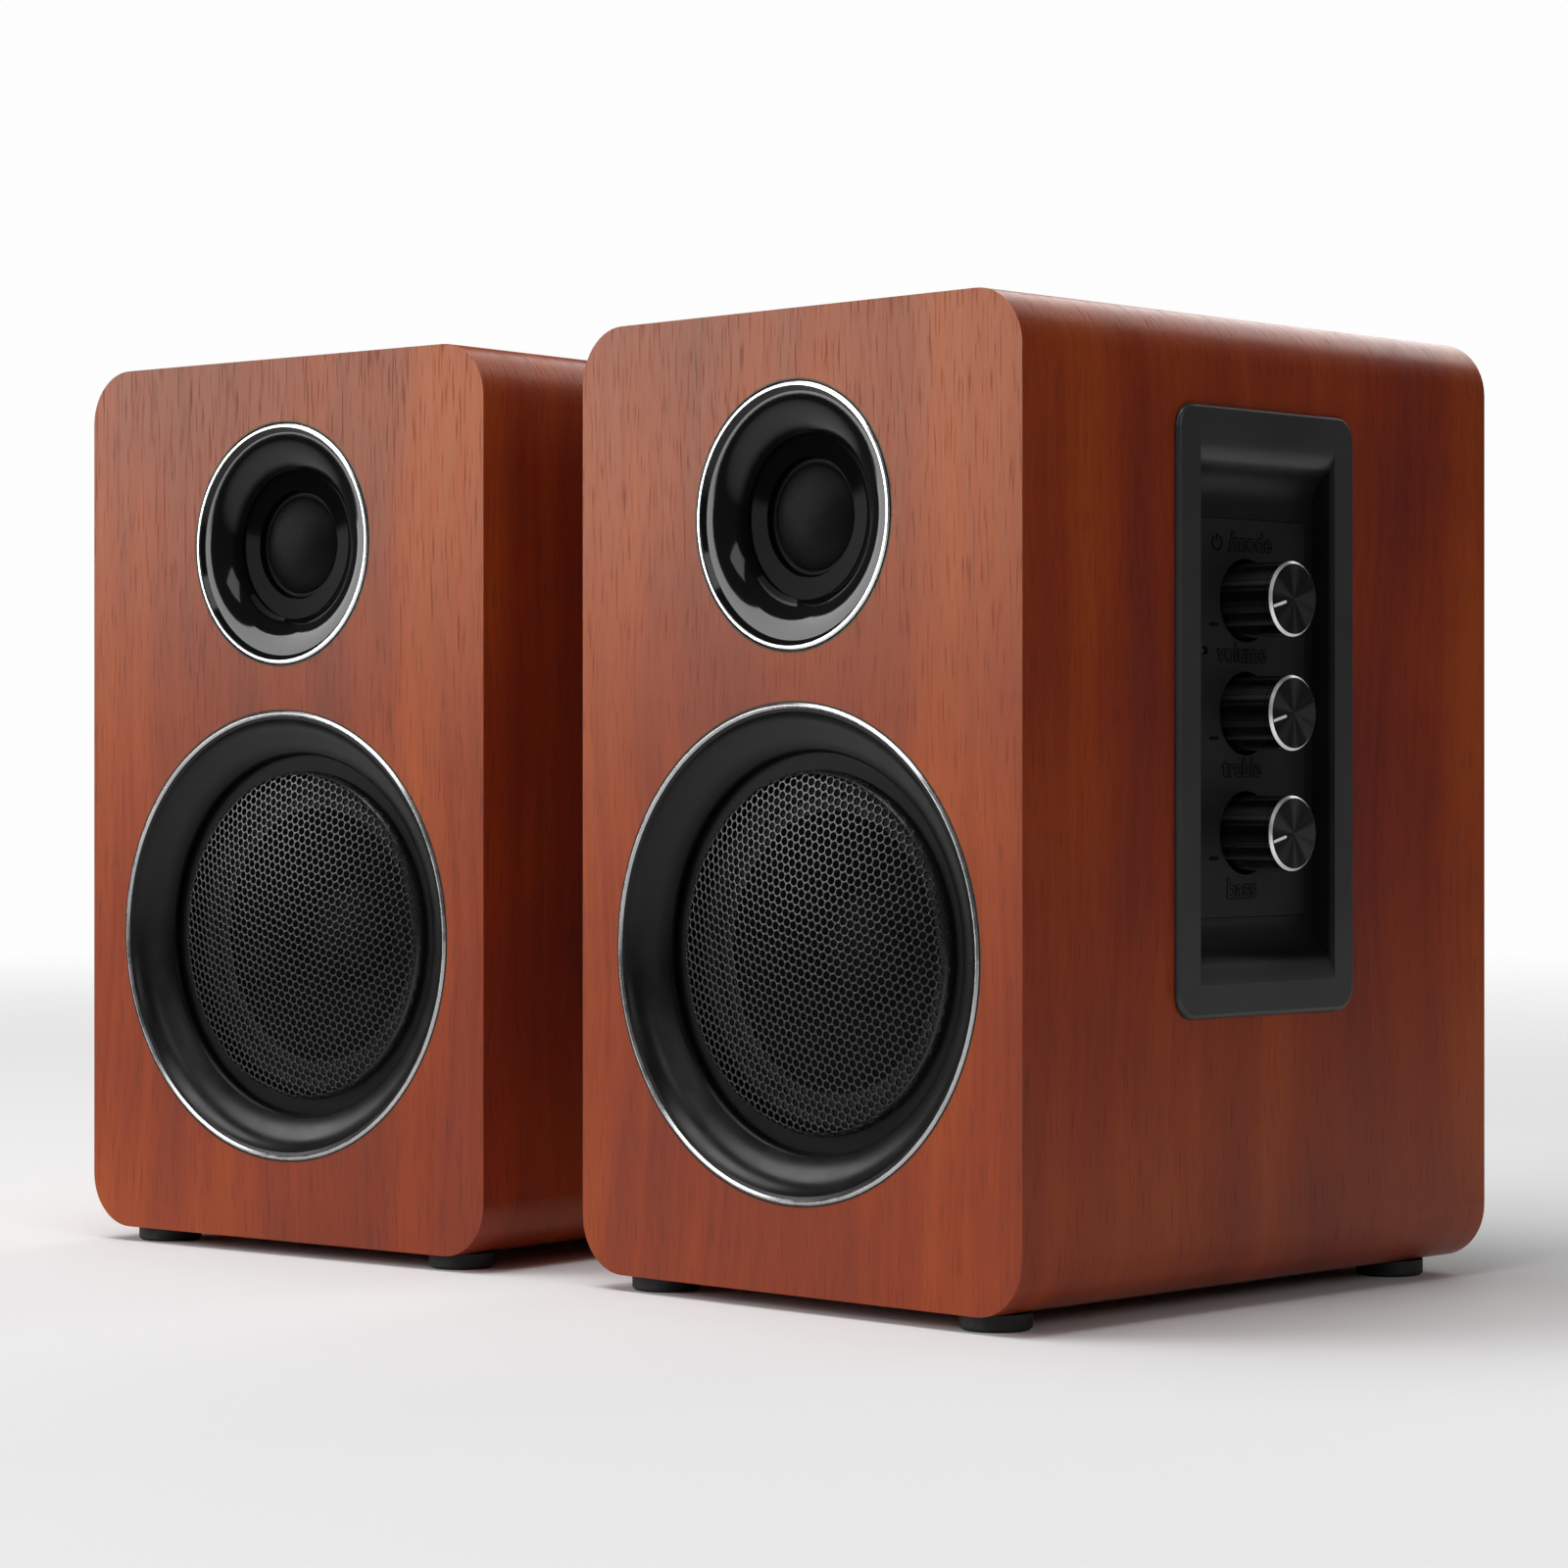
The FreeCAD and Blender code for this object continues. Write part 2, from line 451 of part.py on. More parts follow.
def add_woofer(side):
    def put(body):
        place(side, body, body.Name, z=level("woofer_level"), turn=INWARD)

    put(turned(f"{side}_woofer_ring", [
        ("ring_inner", "0"), ("ring_inner + ring_bevel", "-ring_proud"),
        ("ring_outer - ring_bevel", "-ring_proud"), ("ring_outer", "ring_bevel - ring_proud"),
        ("ring_outer", "woofer_seat"), ("ring_inner", "woofer_seat"),
    ]))
    put(turned(f"{side}_woofer_bezel", [
        ("ring_inner", "0"), ("ring_inner", "woofer_seat"), ("bezel_boss", "woofer_seat"),
        ("bezel_boss", "bezel_back"), ("bezel_ledge", "bezel_back"),
        ("bezel_ledge", "bezel_ledge_depth"), ("bezel_throat", "bezel_ledge_depth"),
        ("bezel_lip", "bezel_lip_depth"), ("bezel_roll", "bezel_roll_depth", "bezel_lip_curve"),
        ("bezel_dish", "bezel_dish_depth", "bezel_roll_curve"),
        ("bezel_edge", "bezel_edge_depth", "-bezel_dish_curve"),
    ]))
    put(turned(f"{side}_woofer_grille", [
        ("0", "grille_apex", "-grille_curve"), ("0", "grille_apex + grille_sheet"),
        ("grille_edge", "grille_edge_depth + grille_sheet", "grille_curve"),
        ("grille_rim - grille_sheet", "bezel_ledge_depth", "grille_rim_curve"),
        ("grille_rim", "bezel_ledge_depth"),
        ("grille_edge", "grille_edge_depth", "-grille_rim_curve"),
    ]))
    frame = turned(f"{side}_woofer_frame", [
        ("frame_flange_inner", "baffle_thickness"), ("frame_flange", "baffle_thickness"),
        ("frame_flange", "baffle_thickness + frame_sheet"),
        ("frame_neck", "baffle_thickness + frame_sheet"), ("frame_neck", "frame_neck_back"),
        ("frame_tail", "frame_tail_front"), ("frame_tail", "frame_back"),
        ("frame_bore", "frame_back"), ("frame_bore", "frame_back - frame_sheet"),
        ("spider_ledge", "frame_back - frame_sheet"), ("spider_ledge", "spider_ledge_depth"),
        ("frame_tail - frame_sheet", "spider_ledge_depth"),
        ("frame_neck - frame_sheet", "frame_neck_back"),
        ("frame_neck - frame_sheet", "baffle_thickness + frame_sheet"),
        ("frame_flange_inner", "baffle_thickness + frame_sheet"),
    ])
    sketch = sketch_on(frame, "XY_Plane", "frame_neck_back")
    window = ("window_far - window_near", "window_width", "frame_sheet")
    rectangle(sketch, *window, x="(window_far + window_near) / 2")
    depth = "frame_tail_front - frame_neck_back"
    pocket = feature(frame, "Pocket", sketch, reverse=True, Length=depth)
    pattern = frame.newObject("PartDesign::PolarPattern", f"{side}_woofer_windows")
    pattern.Originals = [pocket]
    pattern.Axis = (next(f for f in frame.Origin.OriginFeatures if f.Role == "Z_Axis"), [""])
    pattern.Angle = 360
    bind(pattern, Occurrences="window_count")
    frame.Tip = pattern
    sketch = sketch_on(frame, "XY_Plane", "baffle_thickness")
    reach = "woofer_screw_circle / sqrt(2)"
    for x, y in corners(reach, reach):
        circle(sketch, "screw_shank + screw_fit", x, y)
    feature(frame, "Pocket", sketch, reverse=True, Length="frame_sheet")
    put(frame)
    put(turned(f"{side}_woofer_surround", [
        ("roll_outer", "baffle_thickness - roll_sheet", "roll_curve"),
        ("roll_foot_outer", "baffle_thickness - roll_sheet"),
        ("roll_foot_outer", "baffle_thickness"), ("roll_outer - roll_sheet", "baffle_thickness"),
        ("roll_inner + roll_sheet", "baffle_thickness", "-(roll_curve - roll_sheet)"),
        ("roll_foot_inner", "baffle_thickness"), ("roll_foot_inner", "baffle_thickness - roll_sheet"),
        ("roll_inner", "baffle_thickness - roll_sheet"),
    ]))
    put(turned(f"{side}_woofer_cone", [
        ("0", "cap_apex", "-cap_curve"), ("0", "cap_apex + cone_sheet"),
        ("coil_radius - coil_sheet", "cap_edge - coil_sheet", "cap_curve"),
        ("coil_radius - coil_sheet", "coil_end"), ("coil_radius", "coil_end"),
        ("coil_radius", "cone_neck"), ("cone_inner", "baffle_thickness + 2 * cone_sheet"),
        ("cone_outer", "baffle_thickness + cone_sheet"), ("cone_outer", "baffle_thickness"),
        ("cone_inner", "baffle_thickness"), ("cap_radius", "cap_edge"),
    ]))
    crests = ["spider_wave", "-spider_wave"] * 2
    steps = [f"coil_radius + (spider_ledge - coil_radius) * {i + 1} / 5" for i in range(4)]
    top = "spider_ledge_depth - spider_sheet"
    put(turned(f"{side}_woofer_spider", [
        ("coil_radius", top), ("coil_radius", "spider_ledge_depth"),
        *[(r, f"spider_ledge_depth + {w}") for r, w in zip(steps, crests)],
        ("spider_outer", "spider_ledge_depth"), ("spider_outer", top), ("spider_ledge", top),
        *[(r, f"{top} + {w}") for r, w in reversed(list(zip(steps, crests)))],
    ]))
    put(turned(f"{side}_woofer_motor", [
        ("0", "frame_back"), ("0", "yoke_back"), ("yoke_radius", "yoke_back"),
        ("yoke_radius", "magnet_back"), ("magnet_outer", "magnet_back"),
        ("magnet_outer", "top_plate_back"), ("top_plate", "top_plate_back"),
        ("top_plate", "frame_back"), ("pole_gap", "frame_back"), ("pole_gap", "top_plate_back"),
        ("magnet_inner", "top_plate_back"), ("magnet_inner", "magnet_back"),
        ("pole_radius", "magnet_back"), ("pole_radius", "frame_back"),
    ]))


# ---- both cabinets: spring-clip terminal and screws


def lever_middle(sign):
    return f"{sign} * lever_spacing / 2"


def add_terminal(side, x, y, face):
    """A spring-clip block on the back face, with two levers that press in about their top edges."""
    name = f"{side}_terminal_block"
    front = box(f"{name}_front", ("clip_width", "clip_height", "clip_proud"), ("0", "0", "clip_proud / 2"))
    size = ("clip_flange_width", "clip_height", "clip_flange")
    flange = box(f"{name}_flange", size, ("0", "0", "clip_flange / 2"))
    size = ("clip_body_width", "clip_body_height", "clip_body_depth")
    inside = box(f"{name}_body", size, ("0", "0", "-clip_body_depth / 2"))
    tools = []
    for sign in (-1, 1):
        middle = lever_middle(sign)
        size = ("lever_width + 2 * lever_gap", "lever_height + 2 * lever_gap", "pocket_depth")
        spot = (middle, "lever_top - lever_height / 2", "clip_proud - pocket_depth / 2")
        tools.append(box(f"{name}_pocket", size, spot))
        start = (f"{middle} - lever_width / 2 - pivot_length - lever_gap", "lever_top - pivot_inset",
                 "clip_proud - lever_thickness / 2")
        length = "lever_width + 2 * (pivot_length + lever_gap)"
        tools.append(rod(f"{name}_pivot_bore", "pivot_radius + pivot_fit", length, start, ACROSS))
        start = (middle, "-wire_drop", "clip_proud - wire_depth")
        tools.append(rod(f"{name}_wire_hole", "wire_hole", "wire_depth", start))
        start = (f"{sign} * clip_screw", "0", "0")
        tools.append(rod(f"{name}_screw_hole", "screw_shank + screw_fit", "clip_flange", start))
    block = less(name, fused(f"{name}_solid", [front, flange, inside]), *tools)
    place(side, block, name, x, face, y, REARWARD)
    for sign, colour in ((-1, "black"), (1, "red")):
        name = f"{side}_{colour}_clip_lever"
        middle = lever_middle(sign)
        size = ("lever_width", "lever_height", "lever_thickness")
        spot = (middle, "lever_top - lever_height / 2", "clip_proud - lever_thickness / 2")
        plate = box(f"{name}_plate", size, spot)
        start = (f"{middle} - lever_width / 2 - pivot_length", "lever_top - pivot_inset",
                 "clip_proud - lever_thickness / 2")
        pin = rod(f"{name}_pin", "pivot_radius", "lever_width + 2 * pivot_length", start, ACROSS)
        place(side, fused(name, [plate, pin]), name, x, face, y, REARWARD)


def screw_prototype():
    """One pan-head wood screw with a cross recess, head towards +z."""
    screw = turned("wood_screw", [
        ("0", "-screw_length"), ("screw_shank", "screw_shank - screw_length"), ("screw_shank", "0"),
        ("screw_head", "0"), ("0", "screw_head_height", "screw_curve"),
    ])
    sketch = sketch_on(screw, "XY_Plane", "screw_head_height")
    slot, reach = "screw_slot / 2", "screw_slot_length / 2"
    outline(sketch, [
        (reach, f"-{slot}"), (reach, slot), (slot, slot), (slot, reach), (f"-{slot}", reach),
        (f"-{slot}", slot), (f"-{reach}", slot), (f"-{reach}", f"-{slot}"), (f"-{slot}", f"-{slot}"),
        (f"-{slot}", f"-{reach}"), (slot, f"-{reach}"), (slot, f"-{slot}"),
    ])
    feature(screw, "Pocket", sketch, Length="screw_slot_depth")
    return screw


def add_screws(side, prototype):
    """The woofer's screws, seen from inside, and those of the fittings on the back."""
    spots = [(x, "baffle_thickness + frame_sheet", z) for x, z in woofer_screw_spots()]
    if side == "right":
        spots += [(x, AMP_FACE, z) for x, z in amp_screw_spots()]
        spots += [(x, f"{AMP_FACE} + clip_flange", z) for x, z in clip_screw_spots("-clip_x", "clip_level")]
    else:
        holes = clip_screw_spots("0", "passive_clip_level")
        spots += [(x, f"{REAR_FACE} + clip_flange", z) for x, z in holes]
    links = []
    for x, y, z in spots:
        link = doc.addObject("App::Link", f"{side}_screw")
        link.LinkedObject = prototype
        link.LinkPlacement = FreeCAD.Placement(Vector(number(x), number(y), number(z)), REARWARD)
        links.append(link)
    place(side, grouped(f"{side}_screws", links), f"{side}_screws")


# ---- right cabinet: control panel and knobs

KNOBS = {"volume": "volume_rise", "treble": "-treble_drop", "bass": "-bass_drop"}


def on_panel(part, name, y="0"):
    """Puts a sub-part in the panel's frame, on the outer side of the right cabinet."""
    height = f"{level('panel_level')} + {y}"
    place("right", part, name, "cabinet_width / 2", "panel_depth", height, OUTWARD)


def add_control_panel():
    frame = new_body("control_panel_frame")
    sketch = sketch_on(frame, "XY_Plane")
    rectangle(sketch, "panel_width", "panel_height", "panel_corner")
    feature(frame, "Pad", sketch, Length="panel_proud")
    top = number("panel_proud") - 1e-6
    dressed(frame, "Fillet", lambda edge: edge.ZMin > top, Radius="panel_edge")
    sketch = sketch_on(frame, "XY_Plane")
    rectangle(sketch, "tub_width", "tub_height", "tub_corner")
    feature(frame, "Pad", sketch, reverse=True, Length="tub_depth")
    sketch = sketch_on(frame, "XY_Plane", "-tub_depth")
    for x, y in corners("post_x", "post_y"):
        circle(sketch, "post_radius", x, y)
    feature(frame, "Pad", sketch, reverse=True, Length="board_depth - tub_depth")
    sketch = sketch_on(frame, "YZ_Plane", "dish_width / 2")
    top, run, drop = "panel_proud", "(dish_height - dish_floor_height) / 4", "(dish_floor + panel_proud) / 2"
    curve = f"(({run})^2 + ({drop})^2) / (2 * {drop})"
    outline(sketch, [
        ("dish_height / 2", f"{top} + panel_proud"), ("dish_height / 2", top),
        (f"dish_height / 2 - {run}", f"{top} - {drop}", curve),
        ("dish_floor_height / 2", "-dish_floor", f"-{curve}"), ("-dish_floor_height / 2", "-dish_floor"),
        (f"{run} - dish_height / 2", f"{top} - {drop}", f"-{curve}"), ("-dish_height / 2", top, curve),
        ("-dish_height / 2", f"{top} + panel_proud"),
    ])
    feature(frame, "Pocket", sketch, Length="dish_width")
    for inset, depth in (("-plate_gap", "plate_thickness"), ("plate_ledge", "tub_depth")):
        sketch = sketch_on(frame, "XY_Plane", "-dish_floor")
        size = (f"plate_width - 2 * {inset}", f"plate_height - 2 * {inset}", "plate_corner")
        rectangle(sketch, *size, y="-plate_drop")
        feature(frame, "Pocket", sketch, Length=depth)
    on_panel(frame, frame.Name)

    plate = new_body("control_plate")
    sketch = sketch_on(plate, "XY_Plane", "-(dish_floor + plate_thickness)")
    rectangle(sketch, "plate_width", "plate_height", "plate_corner", y="-plate_drop")
    for height in KNOBS.values():
        circle(sketch, "knob_hole", y=height)
    circle(sketch, "led_hole", "-led_x", "led_y")
    feature(plate, "Pad", sketch, Length="plate_thickness")
    on_panel(plate, plate.Name)

    board = new_body("control_board")
    sketch = sketch_on(board, "XY_Plane", "-board_depth")
    rectangle(sketch, "board_width", "board_height", "plate_corner")
    feature(board, "Pad", sketch, reverse=True, Length="board_thickness")
    on_panel(board, board.Name)

    led = turned("status_led", [
        ("0", "-board_depth"), ("led_flange", "-board_depth"), ("led_flange", "-led_flange_front"),
        ("led_radius", "-led_flange_front"), ("led_radius", "-(led_front + led_radius)"),
        ("0", "-led_front", "led_radius"),
    ])
    place("right", led, led.Name, "cabinet_width / 2", "panel_depth - led_x",
          f"{level('panel_level')} + led_y", OUTWARD)


def add_knobs():
    housings = []
    for name, height in KNOBS.items():
        knob = turned(f"{name}_knob", [
            ("shaft_radius", "-knob_back"), ("knob_radius", "-knob_back"),
            ("knob_radius", "knob_groove_start"), ("knob_groove", "knob_groove_start"),
            ("knob_groove", "knob_groove_end"), ("knob_radius", "knob_groove_end"),
            ("knob_radius", "knob_face - knob_chamfer"), ("knob_radius - knob_chamfer", "knob_face"),
            ("0", "knob_face"), ("0", "shaft_front"), ("shaft_radius", "shaft_front"),
        ])
        on_panel(knob, knob.Name, height)
        shaft = turned(f"{name}_shaft", pin("shaft_radius", "-shaft_end", "shaft_front"))
        on_panel(shaft, shaft.Name, height)
        base = "-board_depth"
        size = ("housing_side", "housing_side", "housing_height")
        block = box(f"{name}_housing", size, ("0", height, f"{base} + housing_height / 2"))
        length = "board_depth - bushing_front"
        bushing = rod(f"{name}_bushing", "bushing_radius", length, ("0", height, base))
        bore = rod(f"{name}_bore", "shaft_radius + shaft_fit", "bore_end", ("0", height, "-bore_end"))
        housings.append(less(f"{name}_control", fused(f"{name}_control_solid", [block, bushing]), bore))
    on_panel(grouped("control_housings", housings), "control_housings")
    plunger = turned("volume_plunger", pin("plunger_radius", "-plunger_end", "-shaft_end"))
    on_panel(plunger, plunger.Name, KNOBS["volume"])


# ---- right cabinet: amplifier and its sockets, seen from behind with x to the right


def add_amplifier():
    plate = new_body("amp_plate")
    sketch = sketch_on(plate, "XY_Plane")
    rectangle(sketch, "amp_width", "amp_height", "amp_corner")
    for x, y in corners("amp_screw_x", "amp_screw_y"):
        circle(sketch, "screw_shank + screw_fit", x, y)
    opening = ("clip_body_width + clip_cut_gap", "clip_body_height + clip_cut_gap", "clip_cut_gap")
    rectangle(sketch, *opening, x="clip_x", y="clip_level - amp_level")
    for x, y in clip_screw_spots("clip_x", "clip_level - amp_level"):
        circle(sketch, "screw_shank + screw_fit", x, y)
    for sign in (-1, 1):
        height = f"jack_level - amp_level + {sign} * jack_spacing / 2"
        circle(sketch, "jack_barrel + glue_gap", "-jack_x", height)
    opening = ("inlet_body_width + clip_cut_gap", "inlet_body_height + clip_cut_gap", "screw_shank")
    rectangle(sketch, *opening, x="-inlet_x", y="inlet_level - amp_level")
    feature(plate, "Pad", sketch, Length="amp_thickness")
    sketch = sketch_on(plate, "XY_Plane")
    for x, y in corners("amp_post_x", "amp_post_y"):
        circle(sketch, "amp_post_radius", x, f"{y} + amp_board_level - amp_level")
    reach = f"{REAR_FACE} - amp_board_y - board_thickness"
    feature(plate, "Pad", sketch, reverse=True, Length=reach)
    place("right", plate, plate.Name, "0", REAR_FACE, "amp_level", REARWARD)

    board = box("amp_card", ("amp_board_width", "board_thickness", "amp_board_height"),
                ("0", "board_thickness / 2", "0"))
    size = ("sink_width", "sink_depth", "sink_height")
    sink = box("amp_sink", size, ("0", "-sink_depth / 2", "sink_height - amp_board_height / 2"))
    cans = [rod("amp_capacitor", "capacitor_radius", "capacitor_length",
                (f"{i} * 3 * capacitor_radius", "0", "capacitor_radius"), -BACK) for i in (-1, 0, 1)]
    board = fused("amp_parts", [board, sink, *cans])
    place("right", board, "amp_board", y="amp_board_y", z="amp_board_level")

    pieces = [box("jack_block", ("jack_block_width", "jack_block_height", "jack_block_depth"),
                  ("0", "0", "-jack_block_depth / 2"))]
    bores = []
    for sign in (-1, 1):
        height = f"{sign} * jack_spacing / 2"
        base = ("0", height, "0")
        pieces.append(rod("jack_barrel_rod", "jack_barrel", "amp_thickness + jack_length", base))
        face = ("0", height, "amp_thickness")
        pieces.append(rod("jack_washer_disc", "jack_washer", "jack_washer_thickness", face))
        bores.append(rod("jack_bore_rod", "jack_bore", "jack_length", ("0", height, "amp_thickness")))
    jacks = less("jacks", fused("jack_solid", pieces), *bores)
    place("right", jacks, "input_jacks", "jack_x", REAR_FACE, "jack_level", REARWARD)

    inlet = new_body("mains_inlet")
    face = "amp_thickness + inlet_flange"
    sketch = sketch_on(inlet, "XY_Plane", "amp_thickness")
    rectangle(sketch, "inlet_width", "inlet_height", "inlet_corner")
    feature(inlet, "Pad", sketch, Length="inlet_flange")
    sketch = sketch_on(inlet, "XY_Plane", "amp_thickness")
    rectangle(sketch, "inlet_body_width", "inlet_body_height", "screw_shank")
    feature(inlet, "Pad", sketch, reverse=True, Length="inlet_body_depth")
    sketch = sketch_on(inlet, "XY_Plane", face)
    rectangle(sketch, "socket_width", "socket_height", "socket_corner")
    feature(inlet, "Pocket", sketch, Length="socket_depth")
    sketch = sketch_on(inlet, "XY_Plane", f"{face} - socket_depth")
    for sign in (-1, 1):
        circle(sketch, "contact_radius", f"{sign} * contact_spacing / 2")
    feature(inlet, "Pad", sketch, Length="contact_length")
    place("right", inlet, inlet.Name, "inlet_x", REAR_FACE, "inlet_level", REARWARD)

    core = box("core", ("core_width", "core_depth", "core_height"), ("0", "0", "core_height / 2"))
    size = ("winding_width", "winding_depth", "winding_height")
    winding = box("winding", size, ("0", "0", "core_height / 2"))
    transformer = fused("transformer", [core, winding])
    place("right", transformer, "power_transformer", y="core_y", z=level("wall"))


def add_crossover():
    card = box("crossover_card", ("crossover_width", "crossover_depth", "board_thickness"),
               ("0", "0", "board_thickness / 2"))
    top = "board_thickness"
    coil = rod("crossover_coil", "2 * crossover_part", "2 * crossover_part", ("-crossover_part", "0", top))
    can = rod("crossover_can", "crossover_part", "4 * crossover_part",
              ("2.4 * crossover_part", "-2 * crossover_part", f"{top} + crossover_part"), BACK)
    place("left", fused("crossover_parts", [card, coil, can]), "left_crossover",
          y="crossover_y", z=level("wall"))


# ---- the pair

prototype = screw_prototype()
for side in ("right", "left"):
    add_cabinet(side)
    add_tweeter(side)
    add_woofer(side)
    add_screws(side, prototype)
add_terminal("right", "-clip_x", "clip_level", AMP_FACE)
add_terminal("left", "0", "passive_clip_level", REAR_FACE)
add_control_panel()
add_knobs()
add_amplifier()
add_crossover()
doc.recompute()

bounds = Part.makeCompound([part.Shape for part in subparts]).optimalBoundingBox()
outline_middle = Vector(bounds.Center.x, bounds.Center.y, 0)
for part in subparts:
    part.Placement = FreeCAD.Placement(-outline_middle, UPRIGHT) * part.Placement
doc.recompute()

for item in doc.Objects:
    if {"Invalid", "Error"} & set(item.State):
        raise RuntimeError(f"{item.Name} is {item.State}")
for part in subparts:
    if part.Shape.isNull() or not part.Shape.isValid() or part.Shape.Volume <= 0:
        raise RuntimeError(f"{part.Label} has no valid shape")

os.makedirs("parts", exist_ok=True)
for part in subparts:
    part.Shape.exportStep(f"parts/{part.Label}.step")
print(len(subparts), "sub-parts;", "size", [round(length, 2) for length in
      (bounds.XLength, bounds.YLength, bounds.ZLength)], "shifted by", outline_middle)
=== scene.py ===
import json
import math

import bpy
from mathutils import Matrix, Vector


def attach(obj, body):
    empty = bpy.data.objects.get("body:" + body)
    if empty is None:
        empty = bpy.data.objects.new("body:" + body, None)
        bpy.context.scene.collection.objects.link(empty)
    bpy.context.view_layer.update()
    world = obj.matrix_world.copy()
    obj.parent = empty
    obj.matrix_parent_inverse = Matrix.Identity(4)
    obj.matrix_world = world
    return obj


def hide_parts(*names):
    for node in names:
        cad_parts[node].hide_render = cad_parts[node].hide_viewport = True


# Looks of the pair of desktop speakers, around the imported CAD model. Lengths are in metres.

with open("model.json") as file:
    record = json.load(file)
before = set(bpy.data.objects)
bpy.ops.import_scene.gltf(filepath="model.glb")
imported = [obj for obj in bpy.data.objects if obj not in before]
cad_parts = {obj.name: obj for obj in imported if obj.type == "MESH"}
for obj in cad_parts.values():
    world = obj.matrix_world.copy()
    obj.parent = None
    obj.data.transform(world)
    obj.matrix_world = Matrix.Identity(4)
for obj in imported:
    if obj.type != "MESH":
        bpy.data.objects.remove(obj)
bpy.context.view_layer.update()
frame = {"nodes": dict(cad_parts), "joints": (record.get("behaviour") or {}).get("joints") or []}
nodes = frame["nodes"]
joints = {joint["name"]: joint for joint in frame["joints"]}

# ---- places, from the frame: cabinet frames have x across, y back from the front face, z up

TOE_IN = math.radians(3)
PANEL_X, PANEL_Y = 0.0725, 0.088  # the control panel's middle in the right cabinet
TWEETER_Z, WOOFER_Z = 0.1888, 0.0849
SPREAD = 0.18  # between the middles of the two cabinets
HALF_WIDTH = 0.0725


def turn_z(angle):
    return Matrix.Rotation(angle, 4, "Z")


knob_spot = Vector(joints["volume_turn"]["pos_m"])
knob_offset = turn_z(-TOE_IN) @ Vector((PANEL_X, PANEL_Y, 0))
right_origin = Vector((knob_spot.x - knob_offset.x, knob_spot.y - knob_offset.y, 0))
ORIGINS = {"right": right_origin, "left": right_origin - Vector((SPREAD, 0, 0))}
ANGLES = {"right": -TOE_IN, "left": TOE_IN}
CABINETS = {side: Matrix.Translation(ORIGINS[side]) @ turn_z(ANGLES[side]) for side in ORIGINS}
# turns of a fitting's own frame: z out of the front, and z out of the right side
FRONTWARD = Matrix(((1, 0, 0, 0), (0, 0, -1, 0), (0, 1, 0, 0), (0, 0, 0, 1)))
OUTWARD = Matrix(((0, 0, 1, 0), (1, 0, 0, 0), (0, 1, 0, 0), (0, 0, 0, 1)))


def front_frame(side, z):
    return CABINETS[side] @ Matrix.Translation((0, 0, z)) @ FRONTWARD


def panel_frame(z):
    return CABINETS["right"] @ Matrix.Translation((PANEL_X, PANEL_Y, z)) @ OUTWARD


# ---- node helpers


class Graph:
    """A material's node tree, built from calls that return sockets."""

    def __init__(self, name):
        self.material = bpy.data.materials.new(name)
        self.material.use_nodes = True
        self.tree = self.material.node_tree
        self.shader = self.tree.nodes["Principled BSDF"]
        self.coordinates = self.tree.nodes.new("ShaderNodeTexCoord").outputs["Object"]

    def put(self, socket, value):
        if isinstance(value, bpy.types.NodeSocket):
            self.tree.links.new(value, socket)
        else:
            socket.default_value = value

    def node(self, kind, *inputs, **settings):
        made = self.tree.nodes.new(kind)
        for key, value in settings.items():
            setattr(made, key, value)
        for socket, value in zip(made.inputs, inputs):
            if value is not None:
                self.put(socket, value)
        return made

    def math(self, operation, *inputs):
        return self.node("ShaderNodeMath", *inputs, operation=operation).outputs[0]

    def vector_math(self, operation, *inputs):
        return self.node("ShaderNodeVectorMath", *inputs, operation=operation).outputs[0]

    def local(self, matrix):
        """Coordinates in a fitting's own frame."""
        place, turn, _ = matrix.decompose()
        mapping = self.node("ShaderNodeMapping", self.coordinates, vector_type="TEXTURE")
        mapping.inputs["Location"].default_value = place
        mapping.inputs["Rotation"].default_value = turn.to_euler()
        return mapping.outputs[0]

    def split(self, vector):
        return self.node("ShaderNodeSeparateXYZ", vector).outputs

    def noise(self, vector, scale, detail=2.0, roughness=0.5):
        made = self.node("ShaderNodeTexNoise")
        self.put(made.inputs["Vector"], vector)
        made.inputs["Scale"].default_value = scale
        made.inputs["Detail"].default_value = detail
        made.inputs["Roughness"].default_value = roughness
        return made.outputs["Fac"]

    def stretched(self, vector, scales):
        return self.vector_math("MULTIPLY", vector, scales)

    def fade(self, value, low, high, start=0.0, end=1.0):
        """The value between low and high, smoothly taken to start..end."""
        made = self.node("ShaderNodeMapRange", value, low, high, start, end)
        made.interpolation_type = "SMOOTHSTEP"
        return made.outputs[0]

    def ramp(self, value, *stops):
        made = self.node("ShaderNodeValToRGB", value)
        elements = made.color_ramp.elements
        while len(elements) < len(stops):
            elements.new(0.5)
        for element, (position, colour) in zip(elements, stops):
            element.position, element.color = position, (*colour, 1)
        return made.outputs[0]

    def blend(self, share, first, second, kind="MIX"):
        made = self.node("ShaderNodeMix", data_type="RGBA", blend_type=kind)
        self.put(made.inputs[0], share)
        for socket, value in ((made.inputs[6], first), (made.inputs[7], second)):
            self.put(socket, value if isinstance(value, bpy.types.NodeSocket) else (*value, 1))
        return made.outputs[2]

    def bump(self, height, distance, strength=1.0, normal=None):
        made = self.node("ShaderNodeBump")
        made.inputs["Strength"].default_value = strength
        made.inputs["Distance"].default_value = distance
        self.put(made.inputs["Height"], height)
        if normal is not None:
            self.put(made.inputs["Normal"], normal)
        return made.outputs[0]

    def finish(self, **sockets):
        for name, value in sockets.items():
            if not isinstance(value, (float, int, bpy.types.NodeSocket)):
                value = (*value, 1)
            self.put(self.shader.inputs[name.replace("_", " ")], value)
        return self.material


